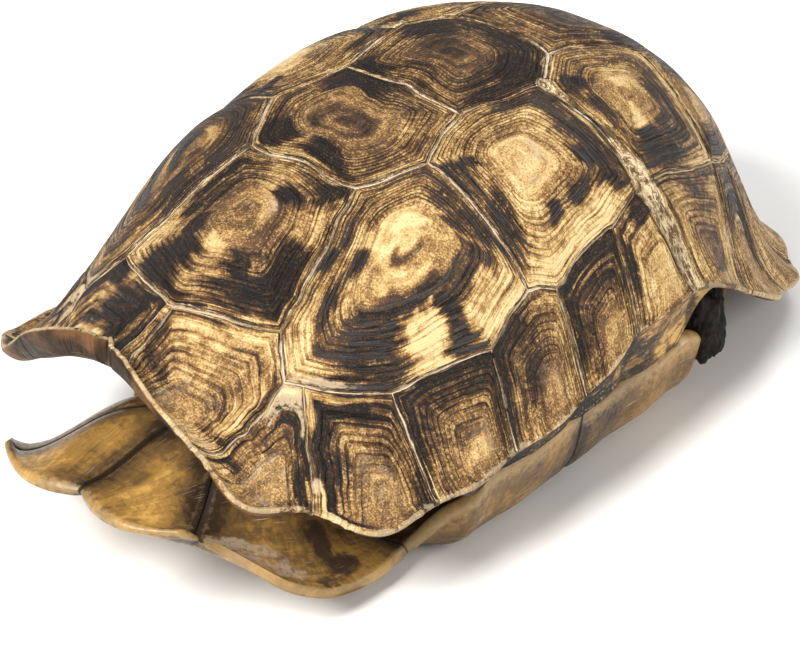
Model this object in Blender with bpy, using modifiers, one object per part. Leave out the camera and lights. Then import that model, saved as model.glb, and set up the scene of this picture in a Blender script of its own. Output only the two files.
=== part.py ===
"""Dried shell of a hinge-back land tortoise: upper shell, lower shell and a crust of dried tissue.

Metres, +Z up. The head end faces -Y and the animal's left side is +X. The shell rests on the flat
middle of its lower shell, at Z = 0. Bearings run round the shell from the head, 0 degrees, over
the flank, 90 degrees, to the tail, 180 degrees. The dome is laid out on a flat map: across and
along the back, in shares of the way from the crown to the rim.
"""
import math

import bmesh
import bpy
import numpy as np

MM = 0.001

# Driving dimensions of the upper shell, in millimetres.
HALF_WIDTH = 58.6
FRONT_LENGTH = 87.5
REAR_LENGTH = 91.5
FRONT_SQUARENESS = 3.2
REAR_SQUARENESS = 2.0
CROWN_HEIGHT = 79.0
CROWN_ALONG = 1.8
NECK_NOTCH = 5.0
NECK_NOTCH_WIDTH = math.radians(11.0)
FLARE_START = 0.72
FLARE_START_CHANGE = 0.12
FLARE_POWER = 2.8
SHELL_ALONG = 1.5

# Around the rim, from the head to the tail in equal steps of the bearing: height, how far the
# flare lifts and widens it, how much lower the left side hangs, and the dome's two exponents.
RIM_HEIGHT = (52.5, 41.0, 27.5, 26.5, 29.0, 34.5, 33.0, 14.5, 4.0, 3.0)
RIM_LIFT = (12.0, 9.0, 3.5, 2.0, 1.0, 2.0, 2.0, 0.0, 0.5, 2.0)
RIM_FLARE = (2.5, 6.0, 5.5, 3.5, 2.0, 1.0, 2.5, 6.0, 7.5, 5.0)
RIM_LEAN = (0.0, 3.6, 2.2, 0.0, 0.0, 0.0, 0.0, 0.0, 0.0, 0.0)
CROWN_FLATNESS = (1.95, 1.95, 2.4, 2.95, 2.95, 3.0, 3.3, 3.8, 3.85, 3.1)
FLANK_BULGE = (0.98, 0.94, 0.82, 0.66, 0.61, 0.61, 0.61, 0.6, 0.57, 0.52)

# The seams that reach the rim, as bearings: nuchal, marginals 1 to 11, tail scute.
RIM_SEAMS = (1.6, 17.0, 31.5, 47.5, 62.5, 81.0, 98.0, 116.0, 130.0, 144.0, 158.0, 171.0)
# How far each of them bulges at the rim between its seams: twice that on the left front, which
# ends between two bearings, in radians. The bulge hangs down by a share of its reach.
RIM_BULGES = (-0.5, 0.4, 2.2, 1.6, 0.8, 0.6, 0.6, 0.8, 1.2, 1.4, 1.6, 1.2, 0.8)
LEFT_FRONT_ENDS = (0.7, 1.1)
BULGE_START = 0.8
BULGE_HANG = 0.6

# Where the front rim hangs down or is drawn in, beyond a share of the way out: the bearing and the
# half width in degrees, the drop and the reach in millimetres.
RIM_DROOPS = ((2.0, 8.0, 2.8, 1.8), (-23.0, 8.0, 4.2, -4.6))
DROOP_START = 0.74

# Seam corners on the flat map of the dome: across, along. The other side is the mirror image.
CORNERS = {
    "nuchal": (0.008, -0.590),
    "v1_c1_m1": (0.189, -0.479),
    "v1_v2": (0.118, -0.206),
    "v2_c1_c2": (0.232, -0.136),
    "v2_v3": (0.188, 0.034),
    "v3_c2_c3": (0.192, 0.218),
    "v3_v4": (0.105, 0.264),
    "v4_c3_c4": (0.148, 0.468),
    "v4_v5": (0.100, 0.560),
    "v5_c4_m11": (0.200, 0.745),
    "v5_m11_tail": (0.075, 0.800),
    "c1_m1_m2": (0.254, -0.558),
    "c1_m2_m3": (0.285, -0.546),
    "c1_m3_m4": (0.439, -0.491),
    "c1_m4_m5": (0.638, -0.338),
    "c1_c2_m5": (0.636, -0.173),
    "c2_m5_m6": (0.696, -0.095),
    "c2_m6_m7": (0.661, 0.154),
    "c2_c3_m7": (0.575, 0.306),
    "c3_c4_m8": (0.412, 0.578),
    "c4_m9_m10": (0.355, 0.650),
    "c4_m10_m11": (0.275, 0.720),
}
MIDLINE = {"v1_v2_mid": -0.206, "v2_v3_mid": 0.031, "v3_v4_mid": 0.262, "v4_v5_mid": 0.575}

# Scutes along the back, as the left half of their ring of corners, and the place along the back
# of the first-grown field they grew out from.
VERTEBRALS = (
    (("nuchal", "v1_c1_m1", "v1_v2", "v1_v2_mid"), -0.340),
    (("v1_v2_mid", "v1_v2", "v2_c1_c2", "v2_v3", "v2_v3_mid"), -0.110),
    (("v2_v3_mid", "v2_v3", "v3_c2_c3", "v3_v4", "v3_v4_mid"), 0.130),
    (("v3_v4_mid", "v3_v4", "v4_c3_c4", "v4_v5", "v4_v5_mid"), 0.415),
    (("v4_v5_mid", "v4_v5", "v5_c4_m11", "v5_m11_tail"), 0.680),
)
NUCHAL_ALONG = -0.80
TAIL_SCUTE_ALONG = 0.90

# Scutes of one side, as rings of corners, each with its first-grown field.
COSTALS = {
    "costal_1": (("v1_c1_m1", "v1_v2", "v2_c1_c2", "c1_c2_m5", "c1_m4_m5", "c1_m3_m4", "c1_m2_m3",
                  "c1_m1_m2"), (0.286, -0.275)),
    "costal_2": (("v2_c1_c2", "v2_v3", "v3_c2_c3", "c2_c3_m7", "c2_m6_m7", "c2_m5_m6",
                  "c1_c2_m5"), (0.400, 0.020)),
    "costal_3": (("v3_c2_c3", "v3_v4", "v4_c3_c4", "c3_c4_m8", "c2_c3_m7"), (0.300, 0.350)),
    "costal_4": (("v4_c3_c4", "v4_v5", "v5_c4_m11", "c4_m10_m11", "c4_m9_m10",
                  "c3_c4_m8"), (0.265, 0.570)),
}
MARGINAL_TOPS = (
    ("nuchal", "v1_c1_m1", "c1_m1_m2"),
    ("c1_m1_m2", "c1_m2_m3"),
    ("c1_m2_m3", "c1_m3_m4"),
    ("c1_m3_m4", "c1_m4_m5"),
    ("c1_m4_m5", "c1_c2_m5", "c2_m5_m6"),
    ("c2_m5_m6", "c2_m6_m7"),
    ("c2_m6_m7", "c2_c3_m7"),
    ("c2_c3_m7", "c3_c4_m8"),
    ("c3_c4_m8", "c4_m9_m10"),
    ("c4_m9_m10", "c4_m10_m11"),
    ("c4_m10_m11", "v5_c4_m11", "v5_m11_tail"),
)

# Relief of the scutes, in millimetres: the seam grooves, which get shallower near the rim, and
# how far the first field stands up. A scute's mesh shrinks to its field in rings, given as shares.
SEAM_DEPTH = 0.9
HINGE_DEPTH = 1.5
RIM_SEAM_SHARE = 0.35
SHALLOW_FROM = 0.7
COSTAL_RISE = 1.0
MARGINAL_RISE = 0.5
NUCHAL_RISE = 0.0
RINGS = {COSTAL_RISE: (0.91, 0.62, 0.30), MARGINAL_RISE: (0.86, 0.50), NUCHAL_RISE: ()}
EDGE_STEP = 0.105
RIM_STEP = 0.066
HINGE_CORNERS = ("v3_c2_c3", "c2_c3_m7", "rim_7")

# Wall of the upper shell, thinning towards its free rim, and the flange above each bridge, which
# is there in full between the middle two bearings and reaches in and down from the keel.
WALL = 3.0
RIM_WALL_SHARE = 0.36
THIN_FROM = 0.60
FLANGE_BEARINGS = (49.0, 58.0, 112.0, 121.0)
FLANGE_IN = 5.6
FLANGE_FOOT = 20.7
FLANGE_LEAST = 0.06
FLANGE_WALL_SHARE = 0.8

# The lower shell, station by station along the body, in millimetres: place, half width, height of
# its underside on the midline and at the edge, how late it turns up, and its thickness.
PLASTRON_STATIONS = (
    (-96.0, 26.0, 31.0, 30.8, 2.0, 2.5, 1.8),
    (-94.0, 28.0, 29.0, 29.6, 2.0, 3.7, 1.8),
    (-92.0, 31.5, 27.8, 27.4, 2.0, 4.6, 1.8),
    (-89.0, 35.8, 26.5, 23.6, 2.0, 6.1, 1.9),
    (-86.0, 38.5, 25.0, 19.8, 2.0, 8.0, 2.0),
    (-81.0, 41.5, 23.0, 13.4, 2.0, 11.6, 2.2),
    (-72.5, 44.2, 19.0, 7.8, 2.0, 16.0, 2.6),
    (-64.0, 44.2, 12.5, 5.2, 2.2, 17.0, 2.8),
    (-56.0, 43.4, 5.0, 3.8, 2.6, 8.0, 2.8),
    (-48.0, 42.2, 1.0, 3.6, 3.0, 4.0, 3.0),
    (-43.0, 45.0, 0.0, 7.0, 4.0, 3.6, 3.0),
    (-38.5, 51.5, 0.0, 15.5, 5.0, 3.6, 3.0),
    (-34.0, 54.0, 0.0, 19.8, 5.5, 3.6, 3.0),
    (0.0, 54.4, 0.0, 19.8, 5.5, 3.6, 3.0),
    (33.0, 53.0, 0.0, 19.8, 5.5, 3.6, 3.0),
    (38.0, 50.0, 0.0, 16.0, 5.0, 3.6, 3.0),
    (42.0, 43.5, 0.0, 8.0, 4.0, 3.6, 3.0),
    (45.0, 38.5, 0.0, 2.5, 3.0, 3.6, 2.8),
    (54.0, 37.5, 0.5, 1.5, 2.5, 3.6, 2.6),
    (65.0, 33.0, 1.5, 2.5, 2.0, 3.6, 2.4),
    (75.0, 25.0, 3.0, 4.5, 2.0, 3.6, 2.2),
    (83.0, 14.0, 5.0, 6.0, 2.0, 3.4, 2.0),
)
PLASTRON_SEAMS = (-68.0, -47.5, -4.0, 41.0, 63.0)
# The first seam runs forward to its outer end, and the rows on both sides of it lean with it.
SLANT_ROWS = (-96.0, -68.0, -47.5)
SLANT = -25.0
SLANT_POWER = 1.4
SLANT_STEP = 2.6
WING_ENDS = (-41.0, -35.0, 34.0, 40.0)
PLASTRON_FLAT = 0.5
FLAT_ROWS = (-60.0, -48.0)
SHELF_SHARES = (0.25, 0.9)
PLASTRON_COLUMNS = 20
PLASTRON_ROW = 7.5
PLASTRON_WALL = 17.0
GULAR_ROWS = (-78.0, -96.0)
GULAR_LEAD = 2.9
GULAR_BULGE = 4.7
TAIL_ROWS = (66.0, 82.0)
TAIL_POINT = 5.0
SEAM_HALF_WIDTH = 1.2
PLASTRON_SEAM_DEPTH = 0.4

# The crust of dried tissue in the left groin notch.
CRUST_CENTRE = (47.5, 41.0, 18.5)
CRUST_RADII = (6.5, 5.6, 10.5)
CRUST_LUMPS = 1.3
GAP = 0.4


def round_the_shell(values, bearing):
    """Smooth curve through values at equal steps of the bearing, level at the head and tail."""
    table = np.asarray(values, float)
    last = len(table) - 1
    place = np.clip(np.abs(bearing) / math.pi, 0.0, 1.0) * last
    start = np.minimum(place.astype(int), last - 1)
    t = place - start
    before = table[np.abs(start - 1)]
    after = table[last - np.abs(last - (start + 2))]
    here = table[start]
    there = table[start + 1]
    slope_here = (there - before) / 2
    slope_there = (after - here) / 2
    rise = there - here
    return here + t * (slope_here + t * (3 * rise - 2 * slope_here - slope_there
                                         + t * (slope_here + slope_there - 2 * rise)))


def smooth_step(low, high, value):
    """0 below low, 1 above high, and a smooth rise between."""
    t = np.clip((value - low) / (high - low), 0.0, 1.0)
    return t * t * (3 - 2 * t)


def rim_bulge(bearing):
    """How far the free edge bulges, in millimetres: nothing at a seam, most halfway between two."""
    seams = np.radians(np.array((-RIM_SEAMS[0],) + RIM_SEAMS + (360.0 - RIM_SEAMS[-1],)))
    place = np.interp(np.abs(bearing), seams, np.arange(len(seams)))
    bulge = np.array(RIM_BULGES)[np.minimum(place.astype(int), len(RIM_BULGES) - 1)]
    left_front = (bearing > 0) * (1 - smooth_step(*LEFT_FRONT_ENDS, bearing))
    return bulge * (1 + left_front) * np.sin(math.pi * place) ** 2


def rim_droop(bearing, share):
    """How far the front rim hangs down and how far it reaches out: bell curves round the rim."""
    total = np.zeros((2,) + bearing.shape)
    for centre, spread, drop, out in RIM_DROOPS:
        bell = np.exp(-((np.degrees(bearing) - centre) / spread) ** 2)
        total += np.array([drop, out]).reshape((2,) + (1,) * bearing.ndim) * bell
    return total * smooth_step(DROOP_START, 1.0, share)


def dome_points(across, along):
    """Points of the upper shell's outer face, in metres, for places on the flat map of the dome.

    The plan is a superellipse whose length and squareness change from head to tail. Each
    meridian falls from the crown to the rim as (1 - s**p)**q, with s the share of the plan
    radius, and the last part flares up and out.
    """
    bearing = np.arctan2(across, -along)
    share = np.hypot(across, along)
    cosine = np.cos(bearing)
    sine = np.sin(bearing)
    front = (1 + cosine) / 2
    length = REAR_LENGTH + (FRONT_LENGTH - REAR_LENGTH) * front
    power = REAR_SQUARENESS + (FRONT_SQUARENESS - REAR_SQUARENESS) * front
    radius = ((np.abs(sine) / HALF_WIDTH) ** power + (np.abs(cosine) / length) ** power) ** (-1 / power)
    s = np.sin(np.clip(share, 0.0, 1.0) * math.pi / 2)
    rim = round_the_shell(RIM_HEIGHT, bearing)
    flatness = round_the_shell(CROWN_FLATNESS, bearing)
    bulge = round_the_shell(FLANK_BULGE, bearing)
    start = FLARE_START - FLARE_START_CHANGE * cosine
    flare = np.clip((share - start) / (1 - start), 0.0, 1.0) ** FLARE_POWER
    notch = NECK_NOTCH * np.exp(-(bearing / NECK_NOTCH_WIDTH) ** 2)
    bulge_out = rim_bulge(bearing) * smooth_step(BULGE_START, 1.0, share)
    drop, out = rim_droop(bearing, share)
    reach = radius * s + (round_the_shell(RIM_FLARE, bearing) - notch) * flare + bulge_out + out
    height = rim + (CROWN_HEIGHT - rim) * np.clip(1 - s ** flatness, 0.0, 1.0) ** bulge
    lean = np.sign(bearing) * round_the_shell(RIM_LEAN, bearing)
    height = height + (round_the_shell(RIM_LIFT, bearing) - lean) * flare - BULGE_HANG * bulge_out - drop
    return MM * np.stack([reach * sine, CROWN_ALONG + SHELL_ALONG - reach * cosine, height], -1)


def dome_normals(across, along):
    """Outward normals of the dome, from small steps on its flat map."""
    step = 0.004
    inside = np.minimum(1.0, (1 - 2 * step) / np.maximum(np.hypot(across, along), 1e-6))
    x = across * inside
    y = along * inside
    du = dome_points(x + step, y) - dome_points(x - step, y)
    dv = dome_points(x, y + step) - dome_points(x, y - step)
    normal = np.cross(du, dv)
    return normal / np.linalg.norm(normal, axis=-1, keepdims=True)


def corner_place(name, side):
    """Place of a named corner on the flat map."""
    if name in MIDLINE:
        return (0.0, MIDLINE[name])
    if name.startswith("rim_"):
        bearing = math.radians(RIM_SEAMS[int(name[4:])])
        return (side * math.sin(bearing), -math.cos(bearing))
    across, along = CORNERS[name]
    return (side * across, along)


def both_sides(near_names):
    """A ring of corners that crosses the midline: the left side's, then the right side's back."""
    ring = [(name, 1) for name in near_names]
    return ring + [(name, -1) for name in reversed(near_names) if name not in MIDLINE]


def scute_list():
    """Every scute as a ring of (corner, side), its first field on the flat map, and its rise."""
    scutes = []
    for names, along in VERTEBRALS:
        scutes.append((both_sides(names), (0.0, along), COSTAL_RISE))
    scutes.append((both_sides(("nuchal", "rim_0")), (0.0, NUCHAL_ALONG), NUCHAL_RISE))
    scutes.append((both_sides(("v5_m11_tail", "rim_11")), (0.0, TAIL_SCUTE_ALONG), MARGINAL_RISE))
    for side in (1, -1):
        for names, field in COSTALS.values():
            scutes.append(([(name, side) for name in names], (side * field[0], field[1]),
                           COSTAL_RISE))
        for number, tops in enumerate(MARGINAL_TOPS):
            names = tops + ("rim_%d" % (number + 1), "rim_%d" % number)
            places = np.array([corner_place(name, side) for name in names])
            scutes.append(([(name, side) for name in names], tuple(places.mean(axis=0)),
                           MARGINAL_RISE))
    return scutes


def groove_depth(place, hinge):
    """Depth of a seam's groove: deeper along the hinge, and shallower near the rim."""
    share = smooth_step(SHALLOW_FROM, 1.0, math.hypot(*place))
    return (HINGE_DEPTH if hinge else SEAM_DEPTH) * (1 - (1 - RIM_SEAM_SHARE) * float(share))


class FlatMap:
    """The dome's mesh while it is still flat: shared corners, edges cut in steps, scute rings."""

    def __init__(self, bm):
        self.bm = bm
        self.level = bm.verts.layers.float.new("level")
        self.corners = {}
        self.edges = {}

    def vertex(self, place, level):
        vert = self.bm.verts.new((place[0], place[1], 0.0))
        vert[self.level] = level
        return vert

    def corner(self, key):
        name, side = key
        if name in MIDLINE:
            side = 1
        if (name, side) not in self.corners:
            place = corner_place(name, side)
            depth = 0.0 if name.startswith("rim_") else groove_depth(place, name in HINGE_CORNERS)
            self.corners[name, side] = self.vertex(place, -depth)
        return self.corners[name, side]

    def edge(self, first, second):
        """Vertices from first up to, but not with, second; the rim is cut along its arc."""
        start, end = self.corner(first), self.corner(second)
        if (end, start) in self.edges:
            return [start] + self.edges[end, start][::-1]
        if (start, end) not in self.edges:
            on_rim = first[0].startswith("rim_") and second[0].startswith("rim_")
            hinge = first[0] in HINGE_CORNERS and second[0] in HINGE_CORNERS
            a, b = np.array(start.co[:2]), np.array(end.co[:2])
            step = RIM_STEP if on_rim else EDGE_STEP
            steps = max(1, round(float(np.linalg.norm(b - a)) / step))
            inner = []
            for t in np.arange(1, steps) / steps:
                place = a + (b - a) * t
                if on_rim:
                    place = place / np.linalg.norm(place)
                depth = 0.0 if on_rim else groove_depth(place, hinge)
                inner.append(self.vertex(place, -depth))
            self.edges[start, end] = inner
        return [start] + self.edges[start, end]

    def scute(self, ring, field, rise):
        """A scute: rings of quads that shrink from its seams to its first field, and a fan."""
        outline = []
        for first, second in zip(ring, ring[1:] + ring[:1]):
            outline += self.edge(first, second)
        centre = np.array(field)
        rings = RINGS[rise]
        outer = outline
        for share in rings:
            inner = []
            for vert in outline:
                place = centre + (np.array(vert.co[:2]) - centre) * share
                inner.append(self.vertex(place, rise * (1 - share)))
            for i, vert in enumerate(outer):
                following = (i + 1) % len(outer)
                self.bm.faces.new((vert, outer[following], inner[following], inner[i]))
            outer = inner
        middle = self.vertex(centre, rise)
        for i, vert in enumerate(outer):
            self.bm.faces.new((vert, outer[(i + 1) % len(outer)], middle))


def lift_to_dome(bm, level):
    """Bends the flat map over the dome, and raises each vertex by its level."""
    verts = list(bm.verts)
    flat = np.array([vert.co[:2] for vert in verts])
    levels = np.array([vert[level] for vert in verts])
    points = dome_points(flat[:, 0], flat[:, 1])
    points += MM * levels[:, None] * dome_normals(flat[:, 0], flat[:, 1])
    for vert, point in zip(verts, points):
        vert.co = point


def flange_share(bearing_degrees):
    """How far the flange over the bridge is developed at a bearing, from 0 to 1."""
    start, full, fading, end = FLANGE_BEARINGS
    return (smooth_step(start, full, bearing_degrees)
            * (1 - smooth_step(fading, end, bearing_degrees)))


def add_flange(bm, rim_bearings, side):
    """Extrudes the keel between the leg openings down and in, where marginals meet the bridge."""
    keel = {vert for vert, bearing in rim_bearings.items()
            if FLANGE_BEARINGS[0] <= side * bearing <= FLANGE_BEARINGS[-1]}
    edges = [edge for edge in bm.edges if edge.is_boundary and set(edge.verts) <= keel]
    for share_of_drop in (0.5, 1.0):
        grown = bmesh.ops.extrude_edge_only(bm, edges=edges)["geom"]
        moved = [item for item in grown if isinstance(item, bmesh.types.BMVert)]
        edges = [item for item in grown if isinstance(item, bmesh.types.BMEdge)]
        sources = dict(rim_bearings)
        for vert in moved:
            nearest = min(sources, key=lambda old: (old.co - vert.co).length)
            bearing = sources[nearest]
            held = max(FLANGE_LEAST, float(flange_share(side * bearing)))
            vert.co.x -= side * MM * FLANGE_IN / 2 * held
            vert.co.z -= (vert.co.z - MM * FLANGE_FOOT) * held * share_of_drop
            rim_bearings[vert] = bearing


def material(name, colour, roughness):
    """A plain horn or crust finish."""
    finish = bpy.data.materials.new(name)
    finish.use_nodes = True
    shader = finish.node_tree.nodes["Principled BSDF"]
    shader.inputs["Base Color"].default_value = (*colour, 1.0)
    shader.inputs["Roughness"].default_value = roughness
    shader.inputs["Metallic"].default_value = 0.0
    return finish


def new_object(name, bm, finish, collection):
    """Turns a bmesh into a named object with its finish."""
    mesh = bpy.data.meshes.new(name)
    bm.to_mesh(mesh)
    bm.free()
    piece = bpy.data.objects.new(name, mesh)
    collection.objects.link(piece)
    mesh.materials.append(finish)
    return piece


def add_wall(piece, thickness, weights):
    """Gives an open skin its wall, on the inner side, thinned vertex by vertex."""
    group = piece.vertex_groups.new(name="wall")
    for index, weight in enumerate(weights):
        group.add([index], weight, "REPLACE")
    wall = piece.modifiers.new("Wall", "SOLIDIFY")
    wall.thickness = thickness
    wall.offset = -1.0
    wall.vertex_group = group.name


def wall_weight(bearing, thin):
    """Share of the full wall at a bearing: thin runs from 0 inside the dome to 1 at its rim."""
    held = float(flange_share(bearing))
    at_rim = RIM_WALL_SHARE + (FLANGE_WALL_SHARE - RIM_WALL_SHARE) * held
    return 1 - (1 - at_rim) * thin


def make_carapace(collection):
    """The upper shell: scutes on the flat map, bent over the dome, with flanges and a wall."""
    bm = bmesh.new()
    flat = FlatMap(bm)
    for ring, field, rise in scute_list():
        flat.scute(ring, field, rise)
    rim_bearings = {}
    for vert in bm.verts:
        if vert.is_boundary:
            rim_bearings[vert] = math.degrees(math.atan2(vert.co.x, -vert.co.y))
    shares = {vert: math.hypot(vert.co.x, vert.co.y) for vert in bm.verts}
    lift_to_dome(bm, flat.level)
    for side in (1, -1):
        add_flange(bm, rim_bearings, side)
    bmesh.ops.recalc_face_normals(bm, faces=bm.faces[:])
    if max(bm.faces, key=lambda face: face.calc_center_median().z).normal.z < 0:
        bmesh.ops.reverse_faces(bm, faces=bm.faces[:])
    weights = []
    for vert in bm.verts:
        bearing = rim_bearings.get(vert, math.degrees(math.atan2(vert.co.x, -vert.co.y)))
        thin = float(smooth_step(THIN_FROM, 1.0, shares.get(vert, 1.0)))
        weights.append(wall_weight(abs(bearing), thin))
    finish = material("worn_horn", (0.42, 0.27, 0.12), 0.5)
    piece = new_object("carapace", bm, finish, collection)
    add_wall(piece, WALL * MM, weights)
    return piece


def plastron_rows():
    """Stations of the lower shell's rows: even steps, finer behind the slanting seam, with three
    rows at each cross seam."""
    first, last = PLASTRON_STATIONS[0][0], PLASTRON_STATIONS[-1][0]
    seam_rows = [seam + offset for seam in PLASTRON_SEAMS
                 for offset in (-SEAM_HALF_WIDTH, 0.0, SEAM_HALF_WIDTH)]
    stretches = ((first, SLANT_ROWS[1], PLASTRON_ROW), (SLANT_ROWS[1], SLANT_ROWS[2], SLANT_STEP),
                 (SLANT_ROWS[2], last, PLASTRON_ROW))
    even = []
    for start, end, step in stretches:
        even += list(np.linspace(start, end, round((end - start) / step) + 1))
    clear = [row for row in even
             if min(abs(row - seam) for seam in PLASTRON_SEAMS) > 1.5 * SEAM_HALF_WIDTH]
    return np.array(sorted(clear + seam_rows))


def slanted(u, row):
    """Stations of a row's points: those of the rows near the first seam lie further forward
    towards the edge."""
    lean = np.interp(row, SLANT_ROWS, (0.0, 1.0, 0.0))
    return row + SLANT * (1 - (1 - np.abs(u)) ** SLANT_POWER) * lean


def plastron_columns():
    """Shares of the half width, closer at the edges, with a narrow pair beside the midline."""
    half = np.sin(np.linspace(0.0, math.pi / 2, PLASTRON_COLUMNS // 2)[1:])
    near = 0.035
    positive = np.concatenate([[near], half])
    return np.concatenate([-positive[::-1], [0.0], positive])


def station_value(column, row):
    """A station table's column at the given rows, in smooth steps between the stations."""
    table = np.array(PLASTRON_STATIONS)
    place = np.interp(row, table[:, 0], np.arange(len(table)))
    start = np.minimum(place.astype(int), len(table) - 2)
    t = place - start
    smooth = 0.5 * t + 0.5 * t * t * (3 - 2 * t)
    return table[start, column] + (table[start + 1, column] - table[start, column]) * smooth


def wing_line(row):
    """Half width of the flange's foot, in millimetres, that a bridge's wing meets at a row."""
    bearing = np.radians(np.linspace(40.0, 130.0, 91))
    keel = dome_points(np.sin(bearing), -np.cos(bearing)) / MM
    return np.interp(row + SHELL_ALONG, keel[:, 1], keel[:, 0]) - FLANGE_IN


def plastron_points(u, grid_row):
    """Points of the lower shell's underside, in metres, and the wall's thickness there.

    u is the share of the half width, and grid_row the station on the midline. The underside is
    flat in the middle and turns up towards the edge as a power of u: early on the lobes, late at
    the bridges.
    """
    row = slanted(u, grid_row)
    start, full, fading, end = WING_ENDS
    wing = smooth_step(start, full, row) * (1 - smooth_step(fading, end, row))
    width = station_value(1, row) * (1 - wing) + wing_line(row) * wing
    middle = station_value(2, row)
    edge = station_value(3, row)
    power = station_value(4, row)
    out = np.abs(u)
    flat = PLASTRON_FLAT * smooth_step(*FLAT_ROWS, row)
    height = middle + (edge - middle) * np.clip((out - flat) / (1 - flat), 0.0, 1.0) ** power
    thinning = smooth_step(*SHELF_SHARES, out)
    thick = station_value(5, row) + (station_value(6, row) - station_value(5, row)) * thinning
    lead = GULAR_LEAD * (1 - out) + GULAR_BULGE * np.sin(math.pi * out)
    trail = TAIL_POINT * (1 - np.cos(2 * math.pi * np.minimum(out, 0.5))) / 2
    place = row - lead * smooth_step(*GULAR_ROWS, row) + trail * smooth_step(*TAIL_ROWS, row)
    seam = np.min([np.abs(row - slanted(u, seam_row)) for seam_row in PLASTRON_SEAMS], axis=0)
    groove = np.maximum(1 - seam / SEAM_HALF_WIDTH, 1 - np.abs(u * width) / SEAM_HALF_WIDTH)
    groove = PLASTRON_SEAM_DEPTH * np.clip(groove, 0.0, 1.0)
    height = height + groove
    thick = thick - 2 * groove
    return MM * np.stack([u * width, place + SHELL_ALONG, height], -1), thick


def make_plastron(collection):
    """The lower shell: a grid bent to its stations, with a wall that is thick at the throat."""
    rows = plastron_rows()
    columns = plastron_columns()
    bm = bmesh.new()
    bmesh.ops.create_grid(bm, x_segments=len(columns) - 1, y_segments=len(rows) - 1, size=0.5)
    verts = sorted(bm.verts, key=lambda vert: (round(vert.co.y, 5), round(vert.co.x, 5)))
    u, row = np.meshgrid(columns, rows)
    points, thick = plastron_points(u.ravel(), row.ravel())
    weight_of = {}
    for vert, point, wall in zip(verts, points, thick):
        vert.co = point
        weight_of[vert] = wall / PLASTRON_WALL
    bmesh.ops.recalc_face_normals(bm, faces=bm.faces[:])
    if min(bm.faces, key=lambda face: abs(face.calc_center_median().y)).normal.z > 0:
        bmesh.ops.reverse_faces(bm, faces=bm.faces[:])
    weights = [weight_of[vert] for vert in bm.verts]
    finish = material("amber_horn", (0.45, 0.28, 0.10), 0.35)
    piece = new_object("plastron", bm, finish, collection)
    add_wall(piece, PLASTRON_WALL * MM, weights)
    return piece


def clearance_cutter(piece, collection):
    """A copy of a piece, as finished, grown by the gap that its neighbour keeps."""
    depsgraph = bpy.context.evaluated_depsgraph_get()
    mesh = bpy.data.meshes.new_from_object(piece.evaluated_get(depsgraph))
    normals = [vert.normal.copy() for vert in mesh.vertices]
    for vert, normal in zip(mesh.vertices, normals):
        vert.co += normal * (GAP * MM)
    cutter = bpy.data.objects.new(piece.name + "_clearance", mesh)
    cutter.hide_render = True
    cutter.display_type = "WIRE"
    collection.objects.link(cutter)
    return cutter


def make_crust(collection, cutters, neighbours):
    """The crust: a lumpy ball pressed into the groin notch, cut clear of both shells."""
    bm = bmesh.new()
    bmesh.ops.create_icosphere(bm, subdivisions=3, radius=1.0)
    for vert in bm.verts:
        x, y, z = vert.co
        lumps = math.sin(5 * x + 1) * math.sin(4 * y + 2) + math.sin(6 * z + 3 * x) * math.cos(5 * y)
        swell = 1 + CRUST_LUMPS * 0.1 * lumps
        vert.co = [MM * (centre + radius * swell * value)
                   for centre, radius, value in zip(CRUST_CENTRE, CRUST_RADII, (x, y, z))]
        vert.co.y += MM * SHELL_ALONG
    finish = material("dried_tissue", (0.02, 0.018, 0.015), 0.6)
    piece = new_object("dried_tissue", bm, finish, collection)
    for neighbour in neighbours:
        cut = piece.modifiers.new("Clear of " + neighbour.name, "BOOLEAN")
        cut.operation = "DIFFERENCE"
        cut.solver = "EXACT"
        cut.object = clearance_cutter(neighbour, cutters)
    return piece


def main():
    for old in list(bpy.data.objects):
        bpy.data.objects.remove(old, do_unlink=True)
    shell = bpy.data.collections.new("tortoise_shell")
    cutters = bpy.data.collections.new("cutters")
    bpy.context.scene.collection.children.link(shell)
    bpy.context.scene.collection.children.link(cutters)
    carapace = make_carapace(shell)
    plastron = make_plastron(shell)
    bpy.context.view_layer.update()
    make_crust(shell, cutters, (carapace, plastron))


main()
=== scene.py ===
"""Looks of a dried hinge-back tortoise shell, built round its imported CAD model.

Metres, +Z up. The head end faces -Y and the animal's left side is +X. Bearings run round the
shell from the head, 0 degrees, over the flank, 90 degrees, to the tail, 180 degrees. The dome is
laid out on a flat map: across and along the back, in shares of the way from the crown to the rim.
"""
import math

import bpy
import numpy as np
from mathutils import Matrix


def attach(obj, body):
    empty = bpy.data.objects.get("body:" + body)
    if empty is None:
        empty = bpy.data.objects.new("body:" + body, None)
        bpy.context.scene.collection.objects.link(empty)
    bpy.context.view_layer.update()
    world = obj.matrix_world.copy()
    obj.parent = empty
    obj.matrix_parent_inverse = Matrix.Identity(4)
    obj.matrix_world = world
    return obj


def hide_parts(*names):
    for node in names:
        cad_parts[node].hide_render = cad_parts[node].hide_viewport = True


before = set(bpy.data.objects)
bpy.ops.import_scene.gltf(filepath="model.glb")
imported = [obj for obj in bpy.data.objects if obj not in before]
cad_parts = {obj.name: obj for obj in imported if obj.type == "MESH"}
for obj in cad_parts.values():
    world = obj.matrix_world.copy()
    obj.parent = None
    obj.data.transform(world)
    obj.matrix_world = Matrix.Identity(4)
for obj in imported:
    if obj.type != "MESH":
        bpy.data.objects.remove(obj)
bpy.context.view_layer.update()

MM = 0.001
SIDES = ((1, "left"), (-1, "right"))

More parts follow.
